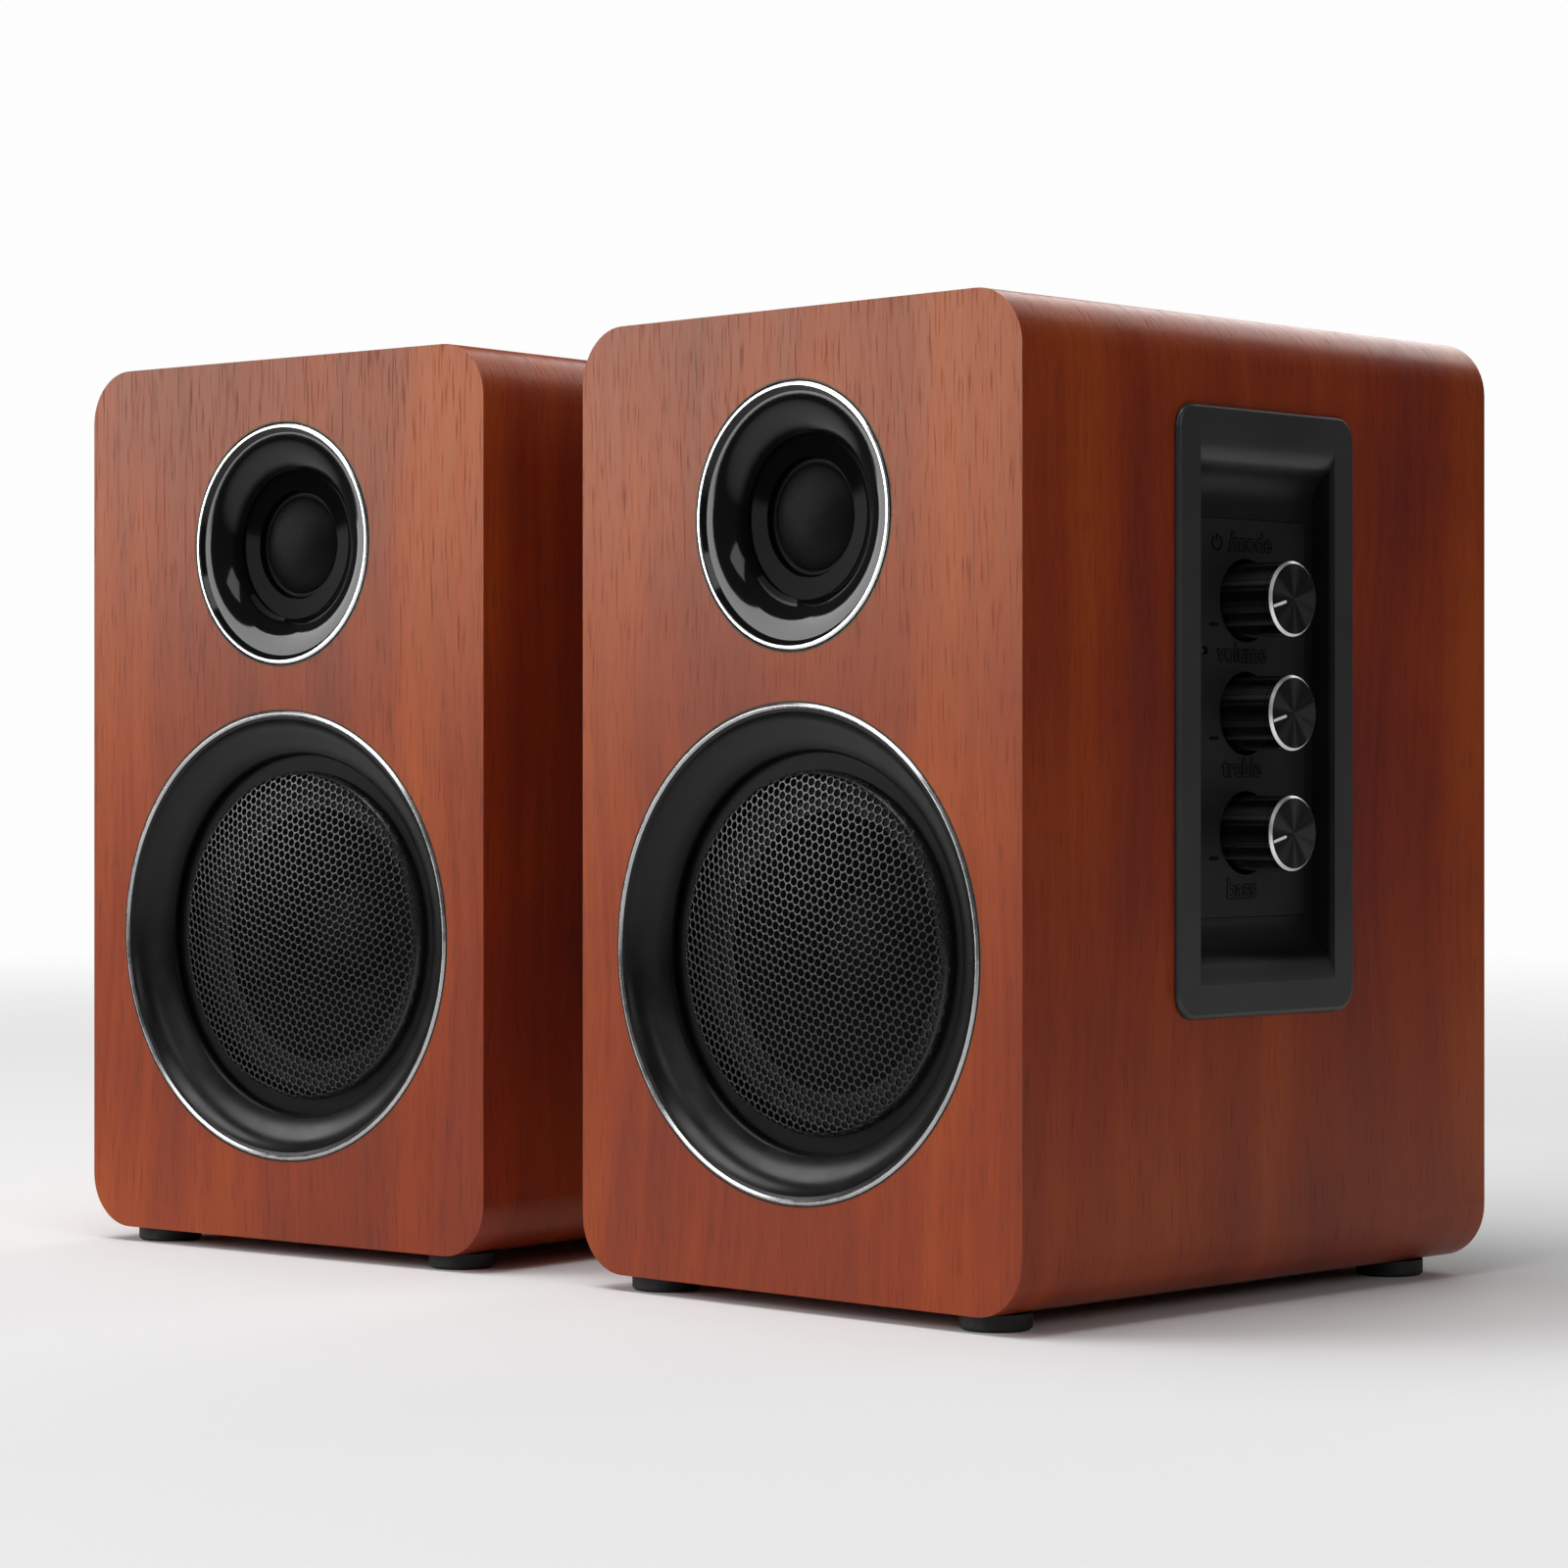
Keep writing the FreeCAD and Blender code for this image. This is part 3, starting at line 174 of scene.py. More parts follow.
def moulded(name, colour, roughness, grain=1800, depth=0.00003, sockets=None):
    """A plain finish with fine grain, slight colour drift and uneven gloss."""
    g = Graph(name)
    drift = g.noise(g.coordinates, 35, 3)
    fine = g.noise(g.coordinates, grain, 2)
    dark, light = ([c * factor for c in colour] for factor in (0.78, 1.2))
    tint = g.ramp(drift, (0.3, dark), (0.7, light))
    gloss = g.fade(g.noise(g.coordinates, 140, 4), 0.3, 0.7, roughness * 0.86, roughness * 1.14)
    return g.finish(**{"Base Color": tint, "Roughness": gloss, "Normal": g.bump(fine, depth, 0.7),
                       **(sockets or {})})


# ---- materials

PURPLE_BROWN, RED_BROWN, ORANGE_BROWN = (0.185, 0.021, 0.012), (0.275, 0.034, 0.008), (0.37, 0.06, 0.009)
PORE_TINT, BLACK_EDGE = (0.6, 0.48, 0.45), (0.006, 0.006, 0.006)
LACQUER = (1.0, 0.82, 0.56)
CAVITY_HALF_WIDTH, CAVITY_MIDDLE, CAVITY_HALF_HEIGHT = 0.061, 0.121, 0.1
BAFFLE_HOLES = ((WOOFER_Z, 0.06), (TWEETER_Z, 0.0326))  # level and radius


def veneer(side):
    """Red-brown veneer with upright grain, which runs on round the corners and over the top.

    The bare board inside the cabinet and in the baffle's holes is black."""
    g = Graph(f"veneer_{side}")
    x, y, z = g.split(g.local(CABINETS[side]))
    facing = g.math("ABSOLUTE", g.split(g.node("ShaderNodeNewGeometry").outputs["Normal"])[1])
    front = g.math("GREATER_THAN", facing, 0.7)
    around = g.math("SUBTRACT", 1.0, front)
    wrapped = g.math("ADD", g.math("MULTIPLY", g.math("ADD", y, HALF_WIDTH), around),
                     g.math("MULTIPLY", x, front))
    over = g.math("MULTIPLY", g.math("SUBTRACT", g.math("ABSOLUTE", x), HALF_WIDTH), around)
    along = g.math("SUBTRACT", z, over)
    sheet = g.node("ShaderNodeCombineXYZ", wrapped, 0.31 if side == "left" else 0.0, along).outputs[0]
    wander = g.noise(g.stretched(sheet, (9, 1, 5)), 1.0, 2)
    sway = g.math("MULTIPLY", g.math("SUBTRACT", wander, 0.5), 0.03)
    wavy = g.vector_math("ADD", sheet, g.node("ShaderNodeCombineXYZ", sway, 0.0, 0.0).outputs[0])
    bands = g.noise(g.stretched(wavy, (34, 1, 3.2)), 1.0, 4, 0.55)
    patches = g.noise(g.stretched(wavy, (13, 1, 11)), 1.0, 3)
    streaks = g.noise(g.stretched(wavy, (420, 1, 12)), 1.0, 3, 0.6)
    pores = g.noise(g.stretched(sheet, (1700, 1, 95)), 1.0, 2)
    mixed = g.math("ADD", g.math("MULTIPLY", bands, 0.62), g.math("MULTIPLY", patches, 0.38))
    colour = g.ramp(mixed, (0.36, PURPLE_BROWN), (0.5, RED_BROWN), (0.64, ORANGE_BROWN))
    colour = g.blend(g.fade(streaks, 0.3, 0.7, 0.26, 0.0), colour, PORE_TINT, "MULTIPLY")
    pore = g.fade(pores, 0.53, 0.72)
    colour = g.blend(g.math("MULTIPLY", pore, 0.8), colour, PORE_TINT, "MULTIPLY")
    inside = g.math("MULTIPLY", around, g.math("LESS_THAN", g.math("ABSOLUTE", x), CAVITY_HALF_WIDTH))
    off_middle = g.math("ABSOLUTE", g.math("SUBTRACT", z, CAVITY_MIDDLE))
    inside = g.math("MULTIPLY", inside, g.math("LESS_THAN", off_middle, CAVITY_HALF_HEIGHT))
    for level, edge in BAFFLE_HOLES:
        up = g.math("SUBTRACT", z, level)
        radius = g.math("SQRT", g.math("ADD", g.math("MULTIPLY", x, x), g.math("MULTIPLY", up, up)))
        inside = g.math("MAXIMUM", inside, g.math("MULTIPLY", front, g.math("LESS_THAN", radius, edge)))
    colour = g.blend(inside, colour, BLACK_EDGE)
    gloss = g.math("ADD", g.fade(streaks, 0.3, 0.7, 0.28, 0.34), g.math("MULTIPLY", pore, 0.15))
    relief = g.math("SUBTRACT", g.math("MULTIPLY", streaks, 0.35), pore)
    return g.finish(**{"Base Color": colour, "Roughness": gloss, "Normal": g.bump(relief, 0.00004, 0.5),
                       "Specular IOR Level": 0.38, "Specular Tint": LACQUER})


def rings_about(g, matrix, pitch):
    """A fine wave of rings about a fitting's axis."""
    x, y, _ = g.split(g.local(matrix))
    radius = g.math("SQRT", g.math("ADD", g.math("POWER", x, 2.0), g.math("POWER", y, 2.0)))
    return radius, g.math("SINE", g.math("MULTIPLY", radius, 2 * math.pi / pitch))


def dome_cloth(side):
    """Coated weave of the dome, its threads crossing in the front plane."""
    g = Graph(f"dome_cloth_{side}")
    x, y, _ = g.split(g.local(front_frame(side, TWEETER_Z)))
    threads = [g.math("ABSOLUTE", g.math("SINE", g.math("MULTIPLY", v, math.pi / 0.00042))) for v in (x, y)]
    weave = g.math("MULTIPLY", *threads)
    tint = g.ramp(weave, (0.1, (0.002, 0.002, 0.002)), (0.9, (0.007, 0.007, 0.0073)))
    shine = g.fade(g.noise(g.coordinates, 400), 0.3, 0.7, 0.36, 0.46)
    return g.finish(**{"Base Color": tint, "Roughness": shine, "Normal": g.bump(weave, 0.00009, 0.6),
                       "Specular IOR Level": 0.1})


def turned_gloss(name, side, z, colour, roughness, inner, outer, levels):
    """A moulded part's finish, its gloss rising from levels[0] to levels[1] between two radii."""
    g = Graph(f"{name}_{side}")
    radius, _ = rings_about(g, front_frame(side, z), 0.001)
    drift = g.noise(g.coordinates, 35, 3)
    tint = g.ramp(drift, (0.3, [c * 0.8 for c in colour]), (0.7, [c * 1.2 for c in colour]))
    gloss = g.fade(g.noise(g.coordinates, 140, 4), 0.3, 0.7, roughness * 0.88, roughness * 1.12)
    grain = g.noise(g.coordinates, 2600, 2)
    relief = g.bump(grain, roughness * 0.00006, 0.7)
    return g.finish(**{"Base Color": tint, "Roughness": gloss, "Normal": relief,
                       "Specular IOR Level": g.fade(radius, inner, outer, *levels)})


def spun(name, side, z, colour, roughness, pitch, metallic):
    """A turned surface with faint tool rings."""
    g = Graph(name)
    _, rings = rings_about(g, front_frame(side, z), pitch)
    drift = g.noise(g.coordinates, 60, 3)
    tint = g.ramp(drift, (0.3, [c * 0.85 for c in colour]), (0.7, [c * 1.1 for c in colour]))
    gloss = g.fade(g.noise(g.coordinates, 260, 3), 0.3, 0.7, roughness * 0.8, roughness * 1.2)
    return g.finish(**{"Base Color": tint, "Roughness": gloss, "Metallic": metallic,
                       "Normal": g.bump(rings, 0.000004, 0.5)})


KNOB_CHAMFER, KNOB_RIM = 0.0083, 0.00838  # where the bright rim starts, along the axis and out from it
KNOB_FACE = 0.00895
# The face's lighter fan colour and the body's lighter streak colour below are painted highlights, not
# colours of the knob.
BRIGHT, SPUN_DARK, PAINTED_FAN_HIGHLIGHT = (0.92, 0.92, 0.92), (0.03, 0.03, 0.031), (0.13, 0.13, 0.132)
ANODISED, PAINTED_SHEEN = (0.003, 0.003, 0.0032), (0.04, 0.04, 0.0415)


def knob_finish_with_painted_sheen(name):
    """Black anodised, with a bright cut rim and tool rings on the face; the light streaks along the body
    and the light fans on the face are painted reflections.
    """
    g = Graph(f"knob_{name}")
    matrix = panel_frame(joints[f"{name}_turn"]["pos_m"][2])
    z = g.split(g.local(matrix))[2]
    radius, rings = rings_about(g, matrix, 0.00062)
    outermost = g.math("GREATER_THAN", radius, KNOB_RIM)
    rim = g.math("MULTIPLY", g.math("GREATER_THAN", z, KNOB_CHAMFER), outermost)
    face = g.math("GREATER_THAN", z, KNOB_FACE)
    heading = g.vector_math("NORMALIZE", g.stretched(g.local(matrix), (1, 1, 0)))
    # painted reflections: light streaks along the body, and light fans on the face
    body = g.blend(g.fade(g.noise(heading, 3.4, 2), 0.5, 0.66), ANODISED, PAINTED_SHEEN)
    painted_fans = g.blend(g.fade(g.noise(heading, 1.7, 1), 0.36, 0.64), SPUN_DARK, PAINTED_FAN_HIGHLIGHT)
    painted_fans = g.blend(g.fade(rings, -1.0, 1.0, 0.0, 0.5), painted_fans, SPUN_DARK)
    colour = g.blend(rim, g.blend(face, body, painted_fans), BRIGHT)
    gloss = g.math("ADD", g.math("MULTIPLY", g.math("MAXIMUM", face, rim), 0.2),
                   g.fade(g.noise(g.coordinates, 500, 3), 0.3, 0.7, 0.13, 0.19))
    relief = g.math("MULTIPLY", rings, face)
    return g.finish(**{"Base Color": colour, "Metallic": g.math("MAXIMUM", rim, face),
                       "Roughness": gloss, "Normal": g.bump(relief, 0.00002, 0.6)})


def panel_finish_with_painted_shade():
    """Satin on the raised rim, matt in the recess; the darker colour in the recess is painted shade and the
    lighter colour on the rim a painted highlight.
    """
    g = Graph("panel_satin_painted_shade")
    depth = g.split(g.local(panel_frame(0)))[2]
    rim = g.fade(depth, -0.0008, 0.0006)
    drift = g.fade(g.noise(g.coordinates, 35, 3), 0.3, 0.7)
    # painted shade and highlight: the recess gets the dark colour, the raised rim the lighter one
    tint = g.blend(rim, g.blend(drift, (0.006, 0.006, 0.0062), (0.009, 0.009, 0.0093)),
                   g.blend(drift, (0.026, 0.026, 0.0265), (0.034, 0.034, 0.0345)))
    return g.finish(**{"Base Color": tint, "Roughness": g.fade(rim, 0.0, 1.0, 0.42, 0.36),
                       "Specular IOR Level": g.fade(rim, 0.0, 1.0, 0.25, 0.5),
                       "Normal": g.bump(g.noise(g.coordinates, 2400, 2), 0.00002, 0.7)})


def board_finish():
    """Green solder mask with pale copper tracks."""
    g = Graph("circuit_board")
    tracks = g.fade(g.noise(g.coordinates, 240, 1), 0.49, 0.51)
    colour = g.blend(tracks, (0.012, 0.09, 0.035), (0.02, 0.16, 0.06))
    return g.finish(**{"Base Color": colour, "Roughness": g.fade(tracks, 0.0, 1.0, 0.3, 0.4),
                       "Normal": g.bump(tracks, 0.00004)})


finishes = {
    "grille": moulded("grille_paint", (0.014, 0.014, 0.0145), 0.28, 3000, 0.00001),
    "rubber": moulded("rubber", (0.012, 0.012, 0.012), 0.72, 2200, 0.00005),
    "plastic": moulded("black_plastic", (0.013, 0.013, 0.014), 0.45, 1700, 0.00005),
    "panel": panel_finish_with_painted_shade(),
    "plate": moulded("panel_plate", (0.0125, 0.0125, 0.0127), 0.5, 2600, 0.00002,
                     {"Specular IOR Level": 0.25}),
    "print": moulded("panel_print", (0.0012, 0.0012, 0.0012), 0.5, 2600, 0.00001,
                     {"Specular IOR Level": 0.1}),
    "pointer": moulded("pointer_paint", (0.93, 0.93, 0.93), 0.4, 2600, 0.00001),
    "rear_board": moulded("rear_board", (0.013, 0.0125, 0.012), 0.6, 900, 0.00008),
    "coat": moulded("powder_coat", (0.015, 0.015, 0.0155), 0.5, 1300, 0.00008),
    "steel": moulded("motor_steel", (0.09, 0.09, 0.095), 0.4, 700, 0.00004, {"Metallic": 0.8}),
    "paper": moulded("cone_paper", (0.006, 0.006, 0.006), 0.65, 1200, 0.0001, {"Specular IOR Level": 0.1}),
    "spider": moulded("spider_cloth", (0.25, 0.16, 0.06), 0.8, 1600, 0.0001),
    "screw": moulded("screw_steel", (0.1, 0.1, 0.105), 0.32, 900, 0.00003, {"Metallic": 0.9}),
    "black_lever": moulded("lever_black", (0.012, 0.012, 0.012), 0.2, 500, 0.00001),
    "red_lever": moulded("lever_red", (0.5, 0.012, 0.01), 0.22, 500, 0.00001),
    "shaft": moulded("shaft_steel", (0.5, 0.5, 0.52), 0.3, 900, 0.00002, {"Metallic": 1.0}),
    "gold": moulded("gold_plate", (0.83, 0.58, 0.2), 0.2, 600, 0.00001, {"Metallic": 1.0}),
    "led": moulded("led_lens", (0.02, 0.02, 0.024), 0.12, 300, 0.000002),
    "board": board_finish(),
}


def dress(node, material):
    mesh = nodes[node].data
    mesh.materials.clear()
    mesh.materials.append(material)


BY_NAME = (
    ("feet", "rubber"), ("port_tube", "plastic"), ("rear_panel", "rear_board"), ("motor", "steel"),
    ("woofer_frame", "coat"), ("surround", "rubber"), ("cone", "paper"), ("spider", "spider"),
    ("grille", "grille"), ("screws", "screw"),
    ("terminal_block", "plastic"), ("black_clip", "black_lever"), ("red_clip", "red_lever"),
    ("control_panel_frame", "panel"), ("control_plate", "plate"), ("control_board", "board"),
    ("status_led", "led"), ("shaft", "shaft"), ("plunger", "plastic"), ("housings", "shaft"),
    ("amp_plate", "coat"), ("amp_board", "board"), ("crossover", "board"), ("transformer", "steel"),
    ("jacks", "gold"), ("inlet", "plastic"),
)
for name in nodes:
    for part, finish in BY_NAME:
        if part in name:
            dress(name, finishes[finish])
            break
RING_COLOURS = {"tweeter": (0.8, 0.8, 0.81), "woofer": (0.5, 0.5, 0.51)}
for side in CABINETS:
    wood = veneer(side)
    dress(f"{side}_cabinet_sleeve", wood)
    dress(f"{side}_front_baffle", wood)
    dress(f"{side}_tweeter_dome", dome_cloth(side))
    dress(f"{side}_tweeter_horn", turned_gloss("piano_gloss", side, TWEETER_Z, (0.003, 0.003, 0.0032), 0.07,
                                               0.0205, 0.0225, (0.02, 0.36)))
    dress(f"{side}_woofer_bezel", turned_gloss("satin_bezel", side, WOOFER_Z, (0.004, 0.004, 0.0042), 0.33,
                                               0.0475, 0.052, (0.1, 0.3)))
    for driver, z in (("tweeter", TWEETER_Z), ("woofer", WOOFER_Z)):
        metal = spun(f"ring_{driver}_{side}", side, z, RING_COLOURS[driver], 0.28, 0.0002, 1.0)
        dress(f"{side}_{driver}_ring", metal)
for name in ("volume", "treble", "bass"):
    dress(f"{name}_knob", knob_finish_with_painted_sheen(name))

# smooth shading with sharp edges kept
for node in nodes.values():
    node.data.shade_smooth()
    node.data.set_sharp_from_angle(angle=math.radians(28))


def piece(name, points, faces, matrix, body, material, smooth=True):
    """A mesh of the object, built in a fitting's frame and riding on a body."""
    mesh = bpy.data.meshes.new(name)
    mesh.from_pydata([matrix @ Vector(p) for p in points], [], faces)
    mesh.validate()
    if smooth:
        mesh.shade_smooth()
        mesh.set_sharp_from_angle(angle=math.radians(40))
    made = bpy.data.objects.new(name, mesh)
    bpy.context.scene.collection.objects.link(made)
    mesh.materials.append(material)
    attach(made, body)
    return made


# ---- perforated domed grilles

GRILLE_PITCH, HOLE_RADIUS = 0.00228, 0.00096
LATTICE_TURN = math.radians(-17)
CORNERS = 12  # around each hole
APEX_DEPTH, EDGE_DEPTH, EDGE_RADIUS = 0.002, 0.0062, 0.041
RIM_CURVE = 0.003
DOME_CURVE = (EDGE_RADIUS**2 + (EDGE_DEPTH - APEX_DEPTH) ** 2) / (2 * (EDGE_DEPTH - APEX_DEPTH))
DOME_LENGTH = DOME_CURVE * math.asin(EDGE_RADIUS / DOME_CURVE)
CELLS_END, SHEET_END = 0.0437, DOME_LENGTH + RIM_CURVE * math.pi / 2
WEB_LAYERS = ((0.00008, 0.00004), (0.0, 0.00022), (0.0, 0.00055))  # beyond the hole's edge, depth


def on_dome(x, y, depth):
    """A point at x, y of the flat sheet, taken onto the dome and depth inwards from its face."""
    length, angle = math.hypot(x, y), math.atan2(y, x)
    if length < DOME_LENGTH:
        tilt = length / DOME_CURVE
        radius = DOME_CURVE * math.sin(tilt)
        level = APEX_DEPTH + DOME_CURVE * (1 - math.cos(tilt))
    else:
        tilt = (length - DOME_LENGTH) / RIM_CURVE
        radius = EDGE_RADIUS + RIM_CURVE * math.sin(tilt)
        level = EDGE_DEPTH + RIM_CURVE * (1 - math.cos(tilt))
    radius -= depth * math.sin(tilt)
    level += depth * math.cos(tilt)
    return radius * math.cos(angle), radius * math.sin(angle), -level


def hexagon(cx, cy):
    """The cell's outline about a hole, with a point at each corner and at each side's middle."""
    outline = []
    for i in range(CORNERS):
        reach = GRILLE_PITCH / 2 if i % 2 == 0 else GRILLE_PITCH / math.sqrt(3)
        angle = LATTICE_TURN + i * 2 * math.pi / CORNERS
        outline.append((cx + reach * math.cos(angle), cy + reach * math.sin(angle)))
    return outline


def perforated(side):
    points, faces, index = [], [], {}

    def vertex(x, y, depth):
        key = (round(x * 1e6), round(y * 1e6), round(depth * 1e6))
        for dx in (-1, 0, 1):
            for dy in (-1, 0, 1):
                near = (key[0] + dx, key[1] + dy, key[2])
                if near in index:
                    return index[near]
        index[key] = len(points)
        points.append(on_dome(x, y, depth))
        return index[key]

    reach = int(CELLS_END / GRILLE_PITCH) + 3
    for row in range(-reach, reach + 1):
        for column in range(-reach, reach + 1):
            along = GRILLE_PITCH * (column + row / 2)
            up = GRILLE_PITCH * row * math.sqrt(3) / 2
            cx = along * math.cos(LATTICE_TURN) - up * math.sin(LATTICE_TURN)
            cy = along * math.sin(LATTICE_TURN) + up * math.cos(LATTICE_TURN)
            if math.hypot(cx, cy) > CELLS_END:
                continue
            loops = [[vertex(x, y, 0) for x, y in hexagon(cx, cy)]]
            for beyond, depth in WEB_LAYERS:
                ring = []
                for i in range(CORNERS):
                    angle = LATTICE_TURN + i * 2 * math.pi / CORNERS
                    r = HOLE_RADIUS + beyond
                    ring.append(vertex(cx + r * math.cos(angle), cy + r * math.sin(angle), depth))
                loops.append(ring)
            loops.append([vertex(x, y, WEB_LAYERS[-1][1]) for x, y in hexagon(cx, cy)])
            for outer, inner in zip(loops, loops[1:]):
                for i in range(CORNERS):
                    j = (i + 1) % CORNERS
                    faces.append((outer[i], outer[j], inner[j], inner[i]))
    band_start = CELLS_END - GRILLE_PITCH * 0.2
    steps, around = 6, 144
    loops = []
    for skin, depth in ((0, 0.00008), (1, 0.0006)):
        lengths = [band_start + (SHEET_END - band_start) * i / steps for i in range(steps + 1)]
        for length in lengths if skin == 0 else reversed(lengths):
            loop = []
            for i in range(around):
                angle = 2 * math.pi * i / around
                points.append(on_dome(length * math.cos(angle), length * math.sin(angle), depth))
                loop.append(len(points) - 1)
            loops.append(loop)
    for first, second in zip(loops, loops[1:] + loops[:1]):
        for i in range(around):
            j = (i + 1) % around
            faces.append((first[i], second[i], second[j], first[j]))
    made = piece(f"{side}_perforated_grille", points, faces, front_frame(side, WOOFER_Z),
                 f"{side}_cabinet", finishes["grille"])
    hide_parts(f"{side}_woofer_grille")


for side in CABINETS:
    perforated(side)

# ---- control panel: pointers, words and marks

PLATE_FACE = -0.0055
PRINT_HEIGHT = 0.00012
LABEL_Y = -0.0017


def strip(name, outline, low, high, matrix, body, finish):
    """A flat raised shape from an outline of points."""
    count = len(outline)
    points = [(x, y, h) for h in (low, high) for x, y in outline]
    faces = [tuple(range(count, 2 * count)), tuple(reversed(range(count)))]
    faces += [(i, (i + 1) % count, count + (i + 1) % count, count + i) for i in range(count)]
    return piece(name, points, faces, matrix, body, finishes[finish], smooth=False)


def rounded_bar(length, width, x=0.0, y=0.0, angle=0.0):
    """The outline of a bar with round ends."""
    outline = []
    for end, start in ((1, -90), (-1, 90)):
        for i in range(7):
            turn = math.radians(start + i * 30)
            px = end * (length - width) / 2 + width / 2 * math.cos(turn)
            py = width / 2 * math.sin(turn)
            outline.append((x + px * math.cos(angle) - py * math.sin(angle),
                            y + px * math.sin(angle) + py * math.cos(angle)))
    return outline


POINTER_DROP, POINTER_MIDDLE = math.radians(14), 0.0056
MARK_SIZE, MARK_REACH, MARK_DROP = (0.0034, 0.0009), 0.0124, -0.006
for name in ("volume", "treble", "bass"):
    level = joints[f"{name}_turn"]["pos_m"][2]
    angle = math.pi + POINTER_DROP
    x, y = POINTER_MIDDLE * math.cos(angle), POINTER_MIDDLE * math.sin(angle)
    outline = rounded_bar(0.0052, 0.0007, x, y, angle)
    strip(f"{name}_pointer", outline, KNOB_FACE, KNOB_FACE + 0.0001, panel_frame(level), f"{name}_control",
          "pointer")
    for sign in (-1, 1):
        bar = rounded_bar(*MARK_SIZE, sign * MARK_REACH, MARK_DROP)
        label = "less" if sign < 0 else "more"
        strip(f"{name}_mark_{label}", bar, PLATE_FACE - 0.0001, PLATE_FACE + PRINT_HEIGHT,
              panel_frame(level), "right_cabinet", "print")
        if sign > 0:
            bar = rounded_bar(*MARK_SIZE, sign * MARK_REACH, MARK_DROP, math.pi / 2)
            strip(f"{name}_mark_upright", bar, PLATE_FACE - 0.0001, PLATE_FACE + PRINT_HEIGHT * 1.1,
                  panel_frame(level), "right_cabinet", "print")


def word(name, text, level, width, shift=0.0):
    """Raised letters on the plate with a dark contour, centred and scaled to a width."""
    factor, middle = letters_on_plate(f"{name}_contour", text, level, shift, 0.045, 0.6, "print", width)
    letters_on_plate(f"{name}_word", text, level, shift, -0.006, 1.0, "plate", factor=factor, middle=middle)


def letters_on_plate(name, text, level, shift, bold, height_share, finish,
                     width=None, factor=None, middle=None):
    """Letters in one finish, scaled to a width, or by the factor and middle of letters already made."""
    curve = bpy.data.curves.new(name, "FONT")
    curve.body = text
    curve.align_x = "CENTER"
    curve.resolution_u = 3
    curve.extrude = 0.02
    curve.offset = bold
    letters = bpy.data.objects.new(f"{name}_text", curve)
    bpy.context.scene.collection.objects.link(letters)
    bpy.context.view_layer.update()
    mesh = bpy.data.meshes.new_from_object(letters.evaluated_get(bpy.context.evaluated_depsgraph_get()))
    bpy.data.objects.remove(letters)
    corners = [v.co.copy() for v in mesh.vertices]
    left, right = min(c.x for c in corners), max(c.x for c in corners)
    factor = factor or width / (right - left)
    middle = (left + right) / 2 if middle is None else middle
    x_height = 0.26  # half the height of a small letter, in the font's own units
    for v, c in zip(mesh.vertices, corners):
        height = PLATE_FACE + (PRINT_HEIGHT * height_share if c.z > 0 else -0.0001)
        across = (c.x - middle) * factor + LABEL_Y + shift
        v.co = panel_frame(level) @ Vector((across, (c.y - x_height) * factor, height))
    made = bpy.data.objects.new(name, mesh)
    bpy.context.scene.collection.objects.link(made)
    mesh.materials.clear()
    mesh.materials.append(finishes[finish])
    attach(made, "right_cabinet")
    return factor, middle


MODE_Z = 0.1829
word("mode", "/mode", MODE_Z, 0.0172, 0.0033)
word("volume", "volume", 0.1562, 0.0194)
word("treble", "treble", 0.1286, 0.0153)
word("bass", "bass", 0.0996, 0.0115)


def power_symbol(x, level):
    """A broken ring with an upright bar in its gap."""
    ring, width, gap, steps = 0.0018, 0.00045, math.radians(38), 28
    outline = []
    for radius, order in ((ring + width / 2, 1), (ring - width / 2, -1)):
        angles = [math.pi / 2 + gap + (2 * math.pi - 2 * gap) * i / steps for i in range(steps + 1)]
        outline += [(x + radius * math.cos(a), radius * math.sin(a)) for a in angles[::order]]
    strip("power_ring", outline, PLATE_FACE - 0.0001, PLATE_FACE + PRINT_HEIGHT, panel_frame(level),
          "right_cabinet", "print")
    bar = rounded_bar(0.0019, width, x, 0.0013, math.pi / 2)
    strip("power_bar", bar, PLATE_FACE - 0.0001, PLATE_FACE + PRINT_HEIGHT, panel_frame(level),
          "right_cabinet", "print")


power_symbol(-0.0112, MODE_Z)

# ---- stage: floor, light and camera

FLOOR_HALF = 6.0


def add_floor():
    mesh = bpy.data.meshes.new("floor")
    corners = [(-FLOOR_HALF, -FLOOR_HALF, 0), (FLOOR_HALF, -FLOOR_HALF, 0),
               (FLOOR_HALF, FLOOR_HALF, 0), (-FLOOR_HALF, FLOOR_HALF, 0)]
    mesh.from_pydata(corners, [], [(0, 1, 2, 3)])
    floor = bpy.data.objects.new("floor", mesh)
    bpy.context.scene.collection.objects.link(floor)
    g = Graph("floor")
    distance = g.node("ShaderNodeVectorMath", g.coordinates, operation="LENGTH").outputs["Value"]
    far = g.fade(distance, 0.15, 2.1)
    tint = g.ramp(g.noise(g.coordinates, 3), (0.2, (0.83, 0.83, 0.832)), (0.8, (0.845, 0.845, 0.847)))
    g.finish(**{"Base Color": tint, "Roughness": 0.9, "Specular IOR Level": 0.1})
    clear = g.node("ShaderNodeBsdfTransparent")
    mix = g.node("ShaderNodeMixShader", far, g.shader.outputs[0], clear.outputs[0])
    g.tree.links.new(mix.outputs[0], g.tree.nodes["Material Output"].inputs[0])
    mesh.materials.append(g.material)


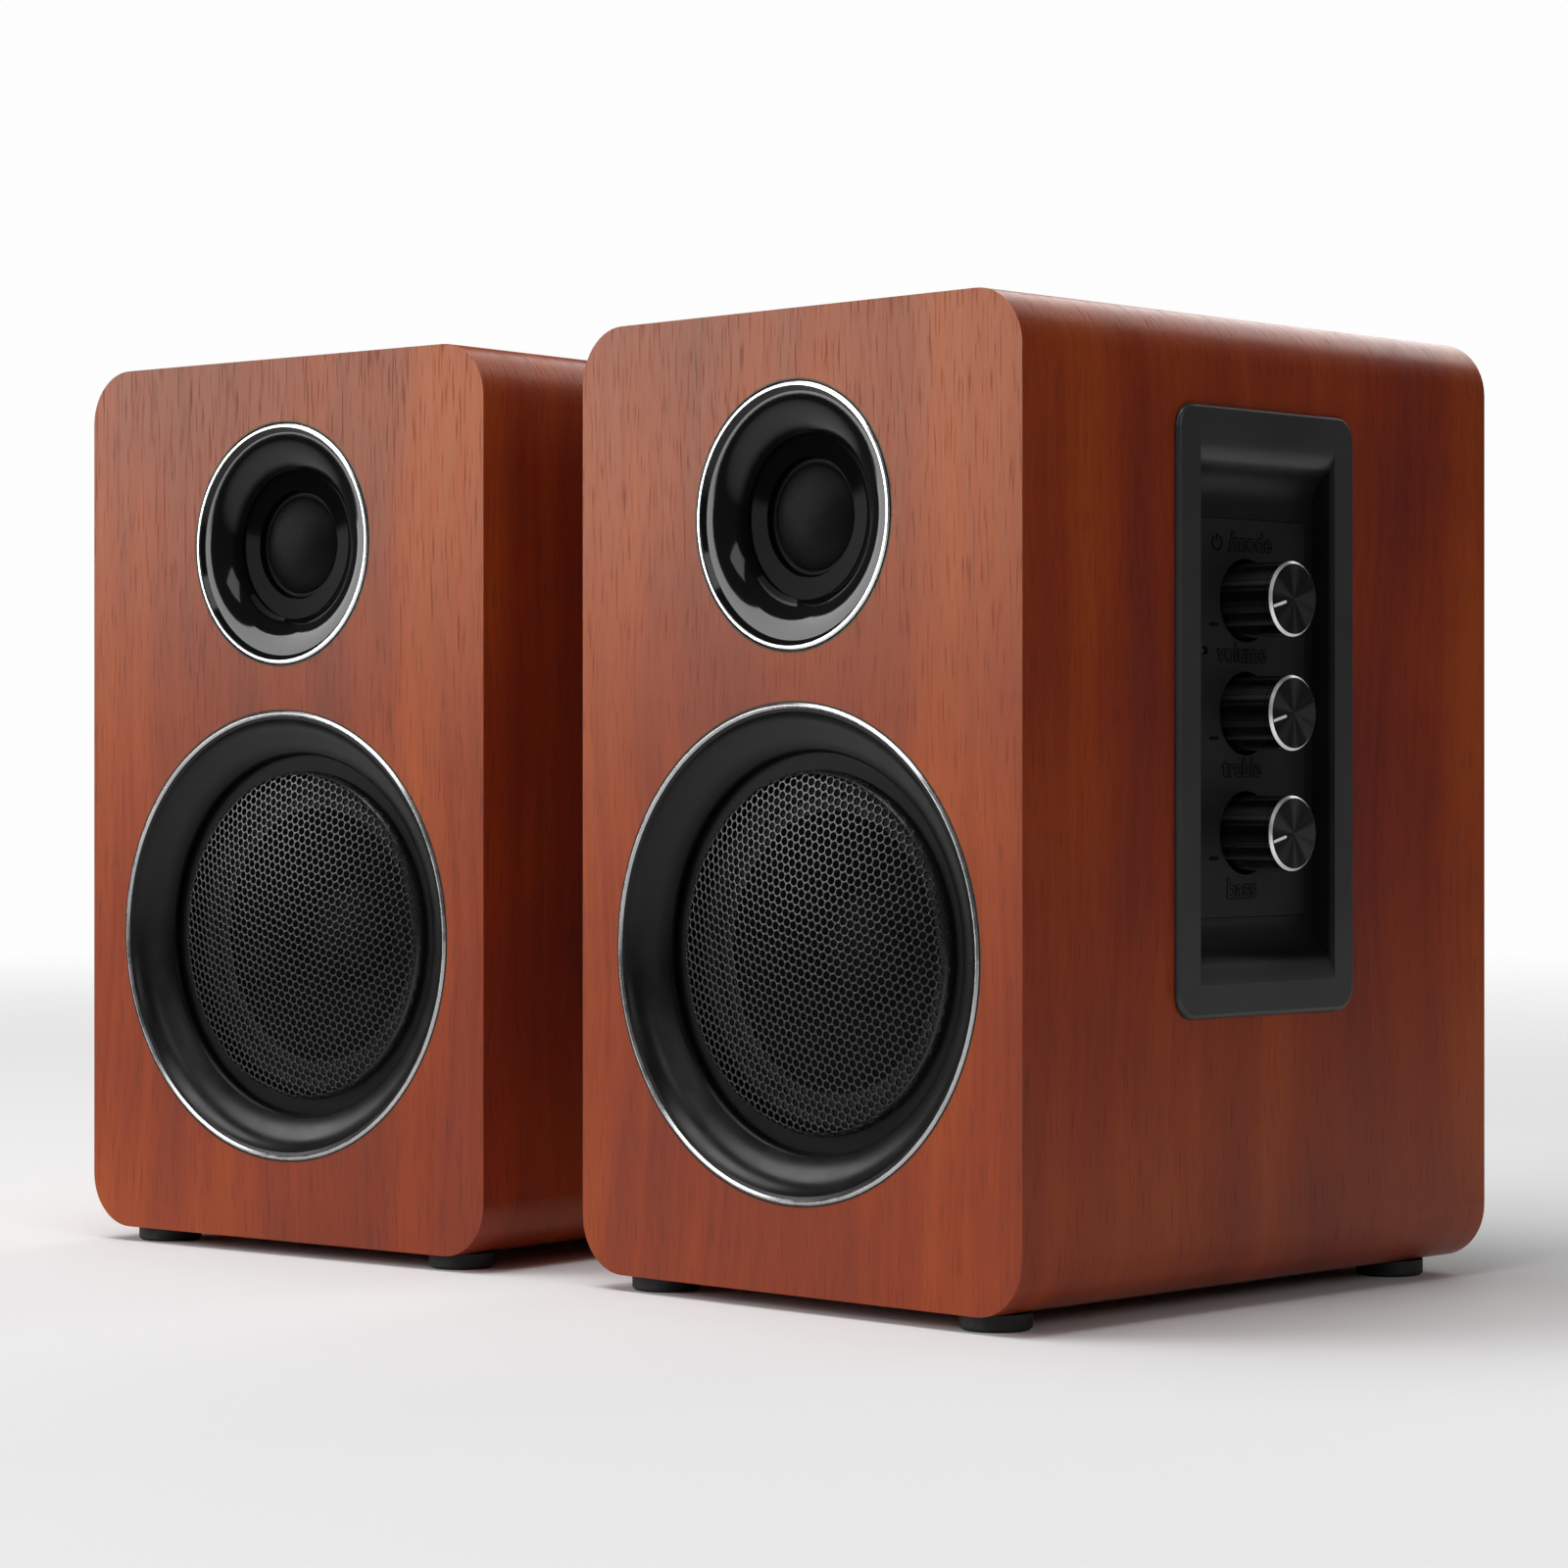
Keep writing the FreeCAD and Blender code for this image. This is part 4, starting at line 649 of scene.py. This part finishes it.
def add_light(name, place, target, width, height, power):
    data = bpy.data.lights.new(name, "AREA")
    data.shape = "RECTANGLE"
    data.size, data.size_y, data.energy = width, height, power
    light = bpy.data.objects.new(name, data)
    light.location = place
    light.rotation_euler = (Vector(target) - Vector(place)).to_track_quat("-Z", "Y").to_euler()
    bpy.context.scene.collection.objects.link(light)


def add_world():
    world = bpy.data.worlds.new("studio")
    bpy.context.scene.world = world
    world.use_nodes = True
    tree = world.node_tree
    seen, fill = tree.nodes["Background"], tree.nodes.new("ShaderNodeBackground")
    seen.inputs[0].default_value, seen.inputs[1].default_value = (1, 1, 1, 1), 0.985
    fill.inputs[0].default_value, fill.inputs[1].default_value = (1, 1, 1, 1), 0.08
    path, mix = tree.nodes.new("ShaderNodeLightPath"), tree.nodes.new("ShaderNodeMixShader")
    tree.links.new(path.outputs["Is Camera Ray"], mix.inputs[0])
    tree.links.new(fill.outputs[0], mix.inputs[1])
    tree.links.new(seen.outputs[0], mix.inputs[2])
    tree.links.new(mix.outputs[0], tree.nodes["World Output"].inputs[0])


def add_camera():
    data = bpy.data.cameras.new("camera")
    data.lens, data.sensor_width, data.shift_y = 96.9, 36, -0.002
    camera = bpy.data.objects.new("camera", data)
    middle = (ORIGINS["right"] + ORIGINS["left"]) / 2
    camera.location = middle + Vector((0.74935, -0.75161, 0.12592))
    camera.rotation_euler = (math.radians(90), 0, math.radians(41.36))
    bpy.context.scene.collection.objects.link(camera)
    bpy.context.scene.camera = camera


add_floor()
add_world()
MIDDLE = (0, 0, 0.12)
add_light("overhead", (-0.2, -0.35, 1.5), MIDDLE, 1.3, 0.9, 18)
add_light("left_card", (-1.5, -1.45, 0.82), (0, 0, 0.82), 1.2, 1.15, 25)
add_light("front_fill", (0.2, -2.4, 1.3), MIDDLE, 1.0, 0.7, 5)
add_light("right_fill", (1.8, -0.3, 0.9), MIDDLE, 0.8, 0.8, 3.9)
add_light("back", (-0.3, 1.8, 1.2), MIDDLE, 1.5, 1.0, 12)
add_camera()
bpy.context.scene.view_settings.view_transform = "Standard"
